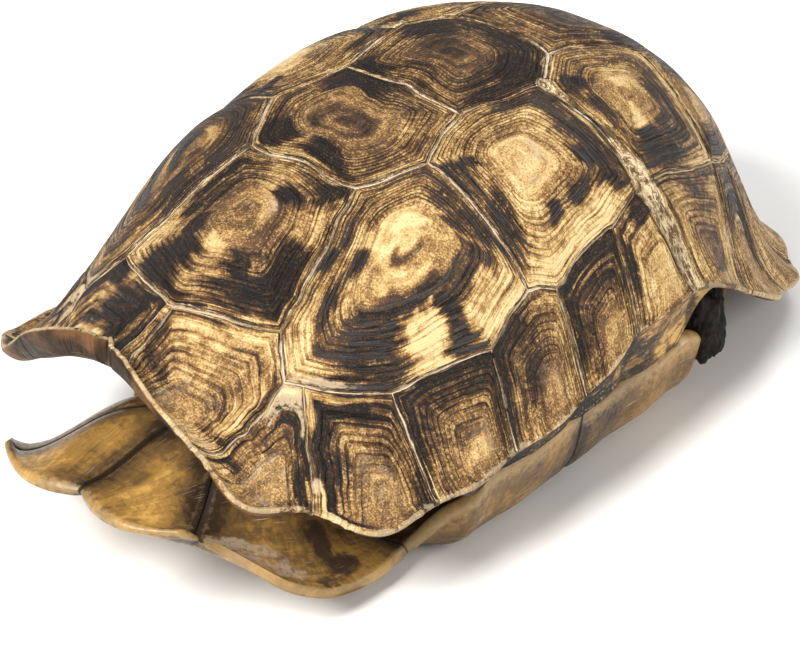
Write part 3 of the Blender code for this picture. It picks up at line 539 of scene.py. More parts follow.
def wall(flat):
    """Thickness of the upper shell, thinning to its rim, less so over the bridges."""
    held = flange_share(np.degrees(np.abs(bearing_of(flat))))
    at_rim = RIM_WALL_SHARE + (BRIDGE_WALL_SHARE - RIM_WALL_SHARE) * held
    return WALL * (1 - (1 - at_rim) * smooth_step(THIN_FROM, 1.0, share_of(flat)))


def horn_depth(flat):
    """How deep a scute's plate reaches into the wall: right through it near the rim."""
    through = smooth_step(*UNDER_HORN, share_of(flat))
    return HORN_SHARE * wall(flat) + ((1 - HORN_SHARE) * wall(flat) + 0.1) * through


def seam_line(flat):
    """Places on the flat map, moved by smooth noise so that seams and rings wander a little."""
    points = np.concatenate([flat * MAP_SCALE, 0 * flat[..., :1]], -1)
    shift = np.stack([noise(points, 9.0, 3), noise(points, 9.0, 4)], -1)
    shift += 0.5 * np.stack([noise(points, 3.5, 5), noise(points, 3.5, 6)], -1)
    hold = 1 - smooth_step(*STILL_AT_RIM, share_of(flat)[..., None])
    return flat + SEAM_WANDER * hold * shift / MAP_SCALE


def corner_place(name, side):
    """Place of a named corner on the flat map."""
    if name in MIDLINE:
        return np.array((0.0, MIDLINE[name]))
    if name.startswith("rim_"):
        return map_place(side * math.radians(RIM_SEAMS[int(name[4:])]))
    across, along = CORNERS[name]
    return np.array((side * across, along))


def one_side(names, side):
    """A ring of corners that all lie on one side."""
    return [(name, side) for name in names]


def both_sides(names):
    """A ring of corners that crosses the midline: the left side's, then the right side's back."""
    return one_side(names, 1) + [(name, -1) for name in reversed(names) if name not in MIDLINE]


def scute_outline(ring, spacing):
    """Places round a scute's edge on the flat map, about one spacing apart, with a place at each
    corner, and for each whether it lies on the free rim and whether on the hinge."""
    places, on_rim, on_hinge = [], [], []
    for first, second in zip(ring, ring[1:] + ring[:1]):
        a, b = corner_place(*first), corner_place(*second)
        rim = first[0].startswith("rim_") and second[0].startswith("rim_")
        hinge = first[0] in HINGE_CORNERS and second[0] in HINGE_CORNERS
        line = a + (b - a) * np.linspace(0, 1, 24)[:, None]
        length = np.linalg.norm(np.diff(dome_points(line), axis=0), axis=1).sum()
        steps = max(4, round(length / spacing))
        line = a + (b - a) * (np.arange(steps) / steps)[:, None]
        if rim:
            line = line / np.linalg.norm(line, axis=1, keepdims=True)
        places.append(line)
        on_rim += [float(rim)] * steps
        on_hinge += [float(hinge)] * steps
    return np.concatenate(places), np.array(on_rim), np.array(on_hinge)


def average(values, width, axis=0, ends="wrap"):
    """Average of the values over a window along an axis, that runs round or has its ends held."""
    kernel = np.hanning(2 * width + 3)[1:-1]
    pads = [(0, 0)] * values.ndim
    pads[axis] = (width, width)
    padded = np.pad(values, pads, mode=ends)
    places = np.arange(values.shape[axis])
    return sum(weight * np.take(padded, places + i, axis)
               for i, weight in enumerate(kernel / kernel.sum()))


def marks_of(table, name):
    """A scute's rows in a table of markings: those under its full name, or else both sides'."""
    return table.get(name, table.get(name.split("-")[0], ()))


def spots(rows, angle, share):
    """The strongest of a scute's soft-edged markings: each is a box in angle and share of the way
    out."""
    total = np.zeros(np.broadcast(angle, share).shape)
    for at, spread, start, end, strength in rows:
        off = np.abs((angle - at + 180) % 360 - 180) / spread
        reach = smooth_step(start - MARK_EDGE, start + MARK_EDGE, share)
        reach = reach * (1 - smooth_step(end - MARK_EDGE, end + MARK_EDGE, share))
        total = np.maximum(total, strength * (1 - smooth_step(0.5, 1.5, off)) * reach)
    return total


def stack(*channels):
    """Up to four channels as the last axis of one array, filled up with noughts."""
    channels += (0.0,) * (4 - len(channels))
    return np.stack(np.broadcast_arrays(*channels), -1)


def add_object(name, data):
    """A new object in the scene, for a mesh, a light or a camera."""
    thing = bpy.data.objects.new(name, data)
    bpy.context.scene.collection.objects.link(thing)
    return thing


def new_mesh(name, points, quads, fans):
    """A smooth mesh of quads and triangles, its points in metres."""
    corners = np.concatenate([quads.ravel(), fans.ravel()]).astype(np.int32)
    sizes = np.concatenate([np.full(len(quads), 4), np.full(len(fans), 3)])
    mesh = bpy.data.meshes.new(name)
    mesh.vertices.add(len(points))
    mesh.vertices.foreach_set("co", points.ravel().astype(np.float32))
    mesh.loops.add(len(corners))
    mesh.loops.foreach_set("vertex_index", corners)
    mesh.polygons.add(len(sizes))
    mesh.polygons.foreach_set("loop_start", (np.cumsum(sizes) - sizes).astype(np.int32))
    mesh.update(calc_edges=True)
    mesh.validate()
    mesh.shade_smooth()
    return mesh


def enclosed(points, quads):
    """Six times the volume inside the quads, less than nothing where they face inwards."""
    a, b, c, d = (points[quads[:, i]] - points.mean(axis=0) for i in range(4))
    return (a * np.cross(b, c)).sum() + (a * np.cross(c, d)).sum()


def skin(name, loops, finish, layers, poles=()):
    """A closed surface: loops of points joined by quads. Each end is closed by a fan to its pole,
    or, without poles, by quads between the two halves of its flattened loop.

    loops is an array of rows by columns by 3, in millimetres, and its columns run all the way
    round. layers are named arrays of rows by columns by 4, kept as the mesh's attributes.
    """
    rows, columns = loops.shape[:2]
    index = np.arange(rows * columns).reshape(rows, columns)
    following = np.roll(index, -1, axis=1)
    quads = np.stack([index[:-1], following[:-1], following[1:], index[1:]], -1).reshape(-1, 4)
    points = loops.reshape(-1, 3)
    fans = np.zeros((0, 3), int)
    if len(poles):
        start = np.stack([np.full(columns, rows * columns), following[0], index[0]], -1)
        end = np.stack([np.full(columns, rows * columns + 1), index[-1], following[-1]], -1)
        points = np.concatenate([points, poles])
        fans = np.concatenate([start, end])
    else:
        i = np.arange(columns // 2 - 1)
        across = np.stack([i, i + 1, columns - 2 - i, columns - 1 - i], -1)
        quads = np.concatenate([quads, index[0][across[:, ::-1]], index[-1][across]])
    points = points * MM
    if enclosed(points, quads) < 0:
        quads, fans = quads[:, ::-1], fans[:, ::-1]
    mesh = new_mesh(name, points, quads, fans)
    for title, values in layers.items():
        values = np.broadcast_to(values, (rows, columns, 4))
        flat = values.reshape(-1, 4)
        if len(poles):
            flat = np.concatenate([flat, [values[0].mean(axis=0)], [values[-1].mean(axis=0)]])
        layer = mesh.attributes.new(title, "FLOAT_COLOR", "POINT")
        layer.data.foreach_set("color", flat.ravel().astype(np.float32))
    mesh.materials.append(finish)
    return add_object(name, mesh)


def hinge_distance(points, side):
    """Distance to the hinge line, from the back's scutes to the rim, in its own half widths."""
    a, b, c = (dome_points(corner_place(name, side)) for name in HINGE_CORNERS)
    found = []
    for p, q, (first, last) in ((a, b, HINGE_SPREAD[:2]), (b, c, HINGE_SPREAD[1:])):
        along = np.clip(((points - p) @ (q - p)) / ((q - p) @ (q - p)), 0.0, 1.0)
        away = np.linalg.norm(points - p - along[..., None] * (q - p), axis=-1)
        found.append(away / (first + (last - first) * along))
    return np.minimum(*found)


def edge_frame(points, normals, t):
    """For each column of a scute: the distance from its first field straight to the seam, and the
    direction out of the plate there."""
    inner = len(t) - max(2, len(t) // 16)
    ray = (points[-1] - points[inner]) / (1 - t[inner])
    tangent = unit(np.roll(points[-1], -1, axis=0) - np.roll(points[-1], 1, axis=0))
    reach = np.linalg.norm(ray - (ray * tangent).sum(-1, keepdims=True) * tangent, axis=-1)
    out = unit(np.cross(tangent, normals[-1]))
    return reach, out * np.sign((out * ray).sum(-1, keepdims=True))


def cut_by_rim(on_rim, edge_points, reach):
    """Rings of a scute run out at its free rim. Gives, for each column, how much of the way out
    counts as growth: all of it at a seam, and on the rim less the further the column ends from
    the rim's corners; and the distance from the first field to the seam."""
    factor = np.ones(len(on_rim))
    inside = np.flatnonzero(on_rim)
    if len(inside) == 0:
        return factor, reach
    before, after = reach[inside[0] - 2], reach[(inside[-1] + 3) % len(reach)]
    steps = np.linalg.norm(np.roll(edge_points, -1, axis=0) - edge_points, axis=1)[inside]
    far = np.cumsum(steps)
    near = far - steps
    factor[inside] = np.clip(1 - np.minimum(near / before, (far[-1] - near) / after), 0.0, 1.0)
    reach = reach.copy()
    reach[inside] = before + (after - before) * near / far[-1]
    return factor, reach


def growth_rings(points, grown, reach, areola, gap, folds, seed):
    """The growth rings of a scute: their numbers, which run up from the seam, how clearly they
    show, the depth of their bell-shaped grooves, and a random step from ring to ring."""
    count = max(3, round(float(np.median(reach)) * (1 - areola) / gap))
    ring_number = (1 - grown) / (1 - areola) * count + 0.14 * noise(points, 9.0, seed + 11)
    crowding = average(reach, 3) * (1 - areola) / count / gap
    shown = smooth_step(*CROWDED, crowding) * smooth_step(areola - 0.05, areola + 0.22, grown)
    numbers = np.random.default_rng(seed)
    shallowest, more = RING_DEPTHS
    depths = folds * (shallowest + more * numbers.random(count + 6) ** RING_VARIETY)
    whole = np.clip(np.round(ring_number).astype(int), 0, count + 5)
    rings = depths[whole] * bell(ring_number - whole, RING_WIDTH)
    return ring_number, shown, shown * rings, numbers.random(count + 6)[whole] - 0.5


def seam_relief(edge, hinge, share):
    """Height beside a seam: a bell-shaped groove, wider at the hinge and shallower towards the
    rim, and a lip beside it."""
    shallow = 1 - (1 - RIM_SEAM_SHARE) * smooth_step(SHALLOW_FROM, 1.0, share)
    width = SEAM_WIDTH + (HINGE_WIDTH - SEAM_WIDTH) * hinge
    depth = (SEAM_DEPTH + (HINGE_DEPTH - SEAM_DEPTH) * hinge) * shallow
    lip = LIP * bell(edge - LIP_PLACE * width, LIP_WIDTH * width)
    return lip - depth * bell(edge, width)


def turned_edge(points, out, normals, level, rim, floor):
    """Rows that turn a scute's edge down: rounded on the free rim, tucked in at a seam."""
    turn = np.radians(np.linspace(90, -90, 8)[1:, None])
    fallen = (1 - np.sin(turn)) / 2
    edge_level = level * (1 - rim)
    depth_rim = level * rim - floor * fallen
    depth_seam = edge_level - (floor + edge_level) * fallen
    sideways = rim * RIM_ROUND * np.cos(turn) + (1 - rim) * TUCK * np.minimum(1, 4 * fallen)
    sink = rim * depth_rim + (1 - rim) * depth_seam
    return points + out * sideways[..., None] + normals * sink[..., None]


def scute_map(outline, centre, t):
    """Rows of places on the flat map, from beside the first field to the edge: the outline drawn
    in towards the field, and the softer the nearer it lies."""
    soft = average(outline, len(outline) // 14)
    blend = (t ** 2)[..., None]
    return seam_line(centre + (outline * blend + soft * (1 - blend) - centre) * t[..., None])


def scute_marks(name, points, angle, t, steps, seed):
    """The four kinds of markings of a scute, their edges stepped from ring to ring and ragged."""
    ragged = np.degrees(angle) + 6.0 * steps + 4.0 * noise(points, 5.0, seed + 12)
    wobble = noise(points, 4.0, 24)
    return stack(*(spots(marks_of(table, name), ragged, t + size * wobble)
                   for table, size in zip(MARKINGS, MARK_WOBBLES)))


def scute_plate(name, ring, field, rise, finish, side=1, rows=120, spacing=1.05, gap=0.95,
                areola=0.3, folds=1.0, seed=1):
    """One scute as a thin plate with its relief.

    A place on the flat map is field + (edge - field) * t, with t from 0 at the first field to 1
    at the seam, lifted to the dome. Above it stand the rise, which falls off as a power of t, the
    grooves of growth rings and seams, and noise. The plate turns down at its edge and runs back
    under itself.
    """
    outline, on_rim, on_hinge = scute_outline(ring, spacing)
    rim = average(on_rim, 1)[None, :]
    hinge = average(on_hinge, 1)[None, :]
    centre = np.array(field)
    t = np.linspace(0, 1, rows + 1)[1:, None]
    flat = scute_map(outline, centre, t)
    share = share_of(flat)
    points, normals = dome_points(flat), dome_normals(flat)
    reach, out = edge_frame(points, normals, t)
    counted, reach = cut_by_rim(on_rim, points[-1], reach)
    grown = t * counted
    edge = (1 - grown) * reach
    ring_number, shown, rings, steps = growth_rings(points, grown, reach, areola, gap, folds, seed)
    lumps = (1 - bell(edge, CALM_WIDTH)) * waves(points, LUMPS)
    level = rise * (1 - grown ** RISE_POWER) + seam_relief(edge, hinge, share) - rings + lumps
    top = points + normals * level[..., None]
    turned = turned_edge(points[-1], out, normals[-1], level[-1:], rim, horn_depth(flat[-1]))
    back = np.linspace(1, 0, max(14, rows // 5))[1:-1]
    back = np.clip(np.round(back * rows).astype(int) - 1, 0, rows - 1)
    bottom = points[back] - normals[back] * horn_depth(flat[back])[..., None]
    loops = np.concatenate([top, turned, bottom])

    place = (flat - centre) * MARK_SCALE
    angle = np.arctan2(side * place[..., 0], place[..., 1])
    to_rim = np.linalg.norm(points - dome_points(flat / share[..., None]), axis=-1)
    layers = {
        "growth": stack(ring_number + 40.0 * seed, edge, to_rim, shown),
        "marks": scute_marks(name, points, angle, t, steps, seed),
        "place": stack(0.0, hinge_distance(points, side), np.cos(angle), np.sin(angle)),
    }
    for title, values in layers.items():
        edge_values = np.repeat(values[-1:], len(turned), 0)
        layers[title] = np.concatenate([values, edge_values, values[back]])
    under = np.concatenate([np.zeros(rows), np.linspace(0, 1, len(turned)), np.ones(len(back))])
    layers["place"][..., 0] = under[:, None]
    return skin(name, loops, finish, layers, (loops[0].mean(axis=0), loops[-1].mean(axis=0)))


def bone_shell(finish):
    """The bone under the scutes: the dome sunk by part of its wall, and its inner face sunk by all
    of it, joined round just inside the rim."""
    bearing = np.radians(np.linspace(-180, 180, 361)[:-1])
    share = np.concatenate([np.linspace(0.02, 0.985, 60), np.linspace(0.985, 0.02, 60)])[:, None]
    flat = map_place(bearing, share)
    inner = (np.arange(len(share)) >= 60)[:, None]
    depth = wall(flat) * np.where(inner, 1.0, BONE_SHARE)
    points = dome_points(flat)
    bumps = inner * 0.15 * noise(points, 6.0, 31)
    loops = points - dome_normals(flat) * (depth + bumps)[..., None]
    crown = dome_points(np.zeros(2))
    poles = (crown - (0, 0, WALL * BONE_SHARE), crown - (0, 0, WALL))
    return skin("bone_shell", loops, finish, {"place": stack(inner * 1.0, share_of(flat))}, poles)


def bridge_flange(name, side, finish):
    """The undersides of the marginals over a bridge: at each bearing a hollow curve,
    keel + (foot - keel) * w, drawn in by 4 * w * (1 - w) of its hollow, and back up inside."""
    bearing = np.linspace(FLANGE_BEARINGS[0] + 0.4, FLANGE_BEARINGS[-1] - 0.4, 150)[:, None]
    keel = dome_points(map_place(side * np.radians(bearing)))
    held = np.maximum(flange_share(bearing), 0.06)[..., None]
    w = np.linspace(0, 1, 28)[None, :, None]
    inward = np.array([-side, 0.0, 0.0])
    start = keel + held * (inward * 0.3 - (0, 0, 0.9))
    drop = np.concatenate([inward[:2] * FLANGE_IN * np.ones_like(held), FLANGE_FOOT - keel[..., 2:]], -1)
    outer = start + drop * held * w + inward * FLANGE_HOLLOW * 4 * w * (1 - w) * held
    seam = np.abs(bearing - np.array(RIM_SEAMS)).min(axis=1)[:, None] * MM_PER_DEGREE
    seam = np.minimum(seam, (1 - w[..., 0]) * FLANGE_HEIGHT)
    relief = 0.35 * bell(seam, 0.9) + 0.18 * noise(outer, 4.0, 41)
    outer = outer + inward * relief[..., None]
    inside = outer[:, ::-1] + inward * (FLANGE_WALL * held + 0.3)
    loops = np.concatenate([outer, inside], axis=1)
    along = np.concatenate([w[..., 0], w[:, ::-1, 0]], axis=1)
    seam = np.concatenate([seam, seam[:, ::-1]], axis=1)
    marks = stack(1 - smooth_step(86, 102, bearing), smooth_step(96, 108, bearing))
    return skin(name, loops, finish, {"growth": stack(along * 9.0 + 5.0, seam), "marks": marks})


def station_value(column, row):
    """A station table's column at the given rows: straight from station to station, averaged over
    a few millimetres so that no station shows as a ridge."""
    table = np.array(PLASTRON_STATIONS)
    shifts = STATION_BLUR * np.linspace(-1, 1, 9)
    weights = np.cos(np.linspace(-1, 1, 9) * math.pi / 2.4)
    values = sum(weight * np.interp(row + shift, table[:, 0], table[:, column])
                 for weight, shift in zip(weights, shifts))
    return values / weights.sum()


def wing_line(row):
    """Half width of the flange's foot, in millimetres, that a bridge's wing meets at a row."""
    keel = dome_points(map_place(np.radians(np.linspace(40.0, 130.0, 91))))
    return np.interp(row + SHELL_ALONG, keel[:, 1], keel[:, 0]) - FLANGE_IN


def slanted(u, row):
    """Stations of a row's points: those near the throat's seam lie further forward at the edge."""
    lean = np.interp(row, SLANT_ROWS, (0.0, 1.0, 0.0))
    return row + SLANT * (1 - np.clip(1 - np.abs(u), 0.0, 1.0) ** SLANT_POWER) * lean


def plastron_points(u, midline_row):
    """Points of the lower shell's underside, in millimetres, and its thickness there.

    u is the share of the half width and midline_row the station on the midline. The underside is
    flat in the middle and turns up towards the edge as a power of u: early on the lobes, late at
    the bridges.
    """
    row = slanted(u, midline_row)
    start, full, fading, end = WING_ENDS
    wing = smooth_step(start, full, row) * (1 - smooth_step(fading, end, row))
    width, middle, edge, power, thick, thin = (station_value(column, row) for column in range(1, 7))
    width = width * (1 - wing) + wing_line(row) * wing
    out = np.abs(u)
    flat = PLASTRON_FLAT * smooth_step(*FLAT_ROWS, row)
    height = middle + (edge - middle) * np.clip((out - flat) / (1 - flat), 0.0, 1.0) ** power
    thick = thick + (thin - thick) * smooth_step(*SHELF_SHARES, out)
    lead = GULAR_LEAD * (1 - out) + GULAR_BULGE * np.sin(math.pi * out)
    trail = TAIL_POINT * (1 - np.cos(2 * math.pi * np.minimum(out, 0.5))) / 2
    place = row - lead * smooth_step(*GULAR_ROWS, row) + trail * smooth_step(*TAIL_ROWS, row)
    return np.stack([u * width, place + SHELL_ALONG, height], -1), thick


def plastron_normals(u, row, side):
    """Directions from the underside to the upper face: the cross product of the slopes over small
    steps, averaged so that they turn smoothly at its folds."""
    step, row_step = 0.002, 0.2
    du = plastron_points(u + side * step, row)[0] - plastron_points(u - side * step, row)[0]
    dv = plastron_points(u, row + row_step)[0] - plastron_points(u, row - row_step)[0]
    along = average(unit(np.cross(du, dv)) * side, 7, 0, "edge")
    return unit(average(along, 12, 1, "edge"))


def plate_edges(u, row, width, ends):
    """Distances, in millimetres, of a plate's points from the nearest seam and from a free end."""
    seam = np.abs(u) * width
    free = np.full_like(seam, 99.0)
    for at in ends:
        lean = (slanted(u + 0.01, at) - slanted(u - 0.01, at)) / (0.02 * width)
        away = np.abs(slanted(u, row) - slanted(u, at)) / np.hypot(1, lean)
        if at in (PLASTRON_STATIONS[0][0], PLASTRON_STATIONS[-1][0]):
            free = np.minimum(free, away)
        else:
            seam = np.minimum(seam, away)
    return seam, free


def rounded_side(middle, normal, half):
    """Columns that round a plate's side edge, from its underside to its upper face."""
    turn = np.radians(np.linspace(-90, 90, 10))[1:-1, None]
    out = unit(middle[:, -1] - middle[:, -2])[:, None, :] * SIDE_ROUND
    reach = half[:, -1:, None]
    return middle[:, -1:] + reach * (out * np.cos(turn) + normal[:, -1:] * np.sin(turn))


def plastron_plate(name, start, end, side, finish, seed):
    """One scute of the lower shell: its underside, the rounded free edge and its upper face, half
    the thickness to each side of the middle, narrowed to nothing at a free end and grooved at a
    seam."""
    rows = max(40, round((end - start) / 0.7))
    row = start + (end - start) * np.linspace(0, 1, rows)[:, None]
    across = np.sin(np.linspace(0.0, math.pi / 2, 70))[None, :]
    u = side * across
    under, thick = plastron_points(u, row)
    normal = plastron_normals(u, row, side)
    half = thick / 2
    middle = under + normal * half[..., None]
    width = np.abs(under[:, -1:, 0])
    seam, free = plate_edges(u, row, width, (start, end))
    closing = np.sqrt(1 - np.clip(1 - free / PLASTRON_ROUND, 0.0, 1.0) ** 2) + 0.02
    relief = waves(middle, PLASTRON_LUMPS) * (half > THIN_HALF)
    relief = relief - PLASTRON_SEAM_DEPTH * bell(seam, PLASTRON_SEAM_WIDTH)
    body = np.minimum(closing, 1.0) * np.maximum(half + relief, 0.3)
    side_edge = rounded_side(middle, normal, body)
    offset = normal * body[..., None]
    loops = np.concatenate([middle - offset, side_edge, (middle + offset)[:, ::-1]], axis=1)

    def all_round(values):
        values = values + 0 * seam
        on_side = np.repeat(values[:, -1:], side_edge.shape[1], axis=1)
        return np.concatenate([values, on_side, values[:, ::-1]], axis=1)
    along = all_round((row - start) / (end - start))
    ragged = all_round(waves(middle, BLOTCH_EDGES))
    tables = [spots_on_plate(marks_of(table, name), along, all_round(across), ragged)
              for table in MARKINGS]
    return skin(name, loops, finish, {
        "growth": stack(all_round(seam / 1.6 + 40.0 * seed), all_round(seam)),
        "marks": stack(*tables),
        "place": stack(all_round(np.minimum((1 - across) * width, free)), all_round(across))})


def spots_on_plate(rows, along, across, ragged):
    """The strongest of a plate's ragged round markings: place along and across, their half sizes,
    strength."""
    total = np.zeros(along.shape)
    for at, reach, place, spread, strength in rows:
        off = np.hypot((along - at) / reach, (across - place) / spread) + ragged
        total = np.maximum(total, strength * (1 - smooth_step(0.5, 1.2, off)))
    return total


def dried_crust(finish):
    """The crust: a ball stretched to its radii, its radius swollen by three sizes of noise."""
    polar = np.radians(np.linspace(0, 180, 92))[1:-1, None]
    turn = np.radians(np.linspace(0, 360, 121)[:-1])[None, :]
    ball = np.stack(np.broadcast_arrays(np.sin(polar) * np.cos(turn), np.sin(polar) * np.sin(turn),
                                        np.cos(polar)), -1)
    swell = 1 + 0.13 * noise(ball * 10, 4.2, 61) + 0.08 * np.abs(noise(ball * 10, 1.8, 62))
    swell += 0.03 * noise(ball * 10, 0.7, 63)
    loops = np.array(CRUST_CENTRE) + ball * np.array(CRUST_RADII) * swell[..., None]
    return skin("dried_crust", loops, finish, {}, (loops[0].mean(axis=0), loops[-1].mean(axis=0)))


class Wire:
    """A socket that carries a number. An operator on it adds the Math node that works it out."""

    def __init__(self, finish, socket):
        self.finish = finish
        self.socket = socket

    def math(self, operation, *others):
        """A Math node with this number as its first input."""
        inputs = dict(enumerate((self,) + others))
        return self.finish.node("ShaderNodeMath", {"operation": operation}, inputs)

    def __add__(self, other):
        return self.math("ADD", other)

    __radd__ = __add__

    def __mul__(self, other):
        return self.math("MULTIPLY", other)

    __rmul__ = __mul__

    def __sub__(self, other):
        return self.math("SUBTRACT", other)

    def __rsub__(self, other):
        return self.finish.node("ShaderNodeMath", {"operation": "SUBTRACT"}, {0: other, 1: self})

    def size(self):
        """The number without its sign."""
        return self.math("ABSOLUTE")

    def most(self, other):
        """The greater of two numbers."""
        return self.math("MAXIMUM", other)

    def rises(self, low, high):
        """0 below low, 1 above high, and a smooth rise between."""
        return self.finish.node("ShaderNodeMapRange", {"interpolation_type": "SMOOTHSTEP"},
                                {0: self, 1: low, 2: high})

    def falls(self, low, high):
        """1 below low, 0 above high, and a smooth fall between."""
        return 1.0 - self.rises(low, high)


class Finish:
    """A material and the nodes that paint it."""

    def __init__(self, name):
        self.material = bpy.data.materials.new(name)
        self.material.use_nodes = True
        self.tree = self.material.node_tree
        self.shader = self.tree.nodes["Principled BSDF"]
        self.where = self.node("ShaderNodeTexCoord", {}, {}, "Object")

    def node(self, kind, settings, inputs, out=0):
        """A node of a kind: its settings first, then its sockets' values or links."""
        node = self.tree.nodes.new(kind)
        for key, value in settings.items():
            setattr(node, key, value)
        self.join(node, inputs)
        return Wire(self, node.outputs[out])

    def join(self, node, inputs):
        """Links or sets the sockets of a node."""
        for key, value in inputs.items():
            if isinstance(value, Wire):
                self.tree.links.new(value.socket, node.inputs[key])
            else:
                node.inputs[key].default_value = value

    def layer(self, name):
        """The four channels of one of the mesh's attributes."""
        colour = self.node("ShaderNodeAttribute", {"attribute_name": name}, {}, "Color")
        parts = self.node("ShaderNodeSeparateColor", {}, {0: colour}).socket.node
        alpha = Wire(self, colour.socket.node.outputs["Alpha"])
        return [Wire(self, parts.outputs[i]) for i in range(3)] + [alpha]

    def grain(self, scale, detail=2.0, roughness=0.5, w=None, vector=None):
        """Noise from 0 to 1 on the object's own coordinates, or on another vector. w moves it
        through a fourth dimension, in steps of its own size, so that it changes as w does."""
        settings = {"noise_dimensions": "3D" if w is None else "4D"}
        inputs = {"Vector": vector or self.where, "Scale": scale, "Detail": detail,
                  "Roughness": roughness}
        if w is not None:
            inputs["W"] = w * (1.0 / scale)
        return self.node("ShaderNodeTexNoise", settings, inputs)

    def wave(self, *place, **more):
        """Noise that swings to both sides of nought."""
        return self.grain(*place, **more) - 0.5

    def blend(self, share, under, over):
        """The colour under, with the colour over laid on it by a share."""
        inputs = {0: share}
        for key, colour in ((6, under), (7, over)):
            inputs[key] = colour if isinstance(colour, Wire) else (*colour, 1.0)
        return self.node("ShaderNodeMix", {"data_type": "RGBA"}, inputs, 2)

    def ramp(self, tone, colour, *steps):
        """A colour that turns into the next at each step, as the tone rises from low to high."""
        for low, high, over in steps:
            colour = self.blend(tone.rises(low, high), colour, over)
        return colour

    def done(self, colour, roughness, height=None, depth=0.0, coat=0.0, shine=0.5):
        """Joins the colour, roughness and relief to the shader."""
        inputs = {"Base Color": colour, "Roughness": roughness, "Specular IOR Level": shine,
                  "Coat Weight": coat, "Coat Roughness": 0.3}
        if height is not None:
            relief = {"Strength": 1.0, "Distance": depth, "Height": height}
            inputs["Normal"] = self.node("ShaderNodeBump", {}, relief)
        self.join(self.shader, inputs)
        return self.material


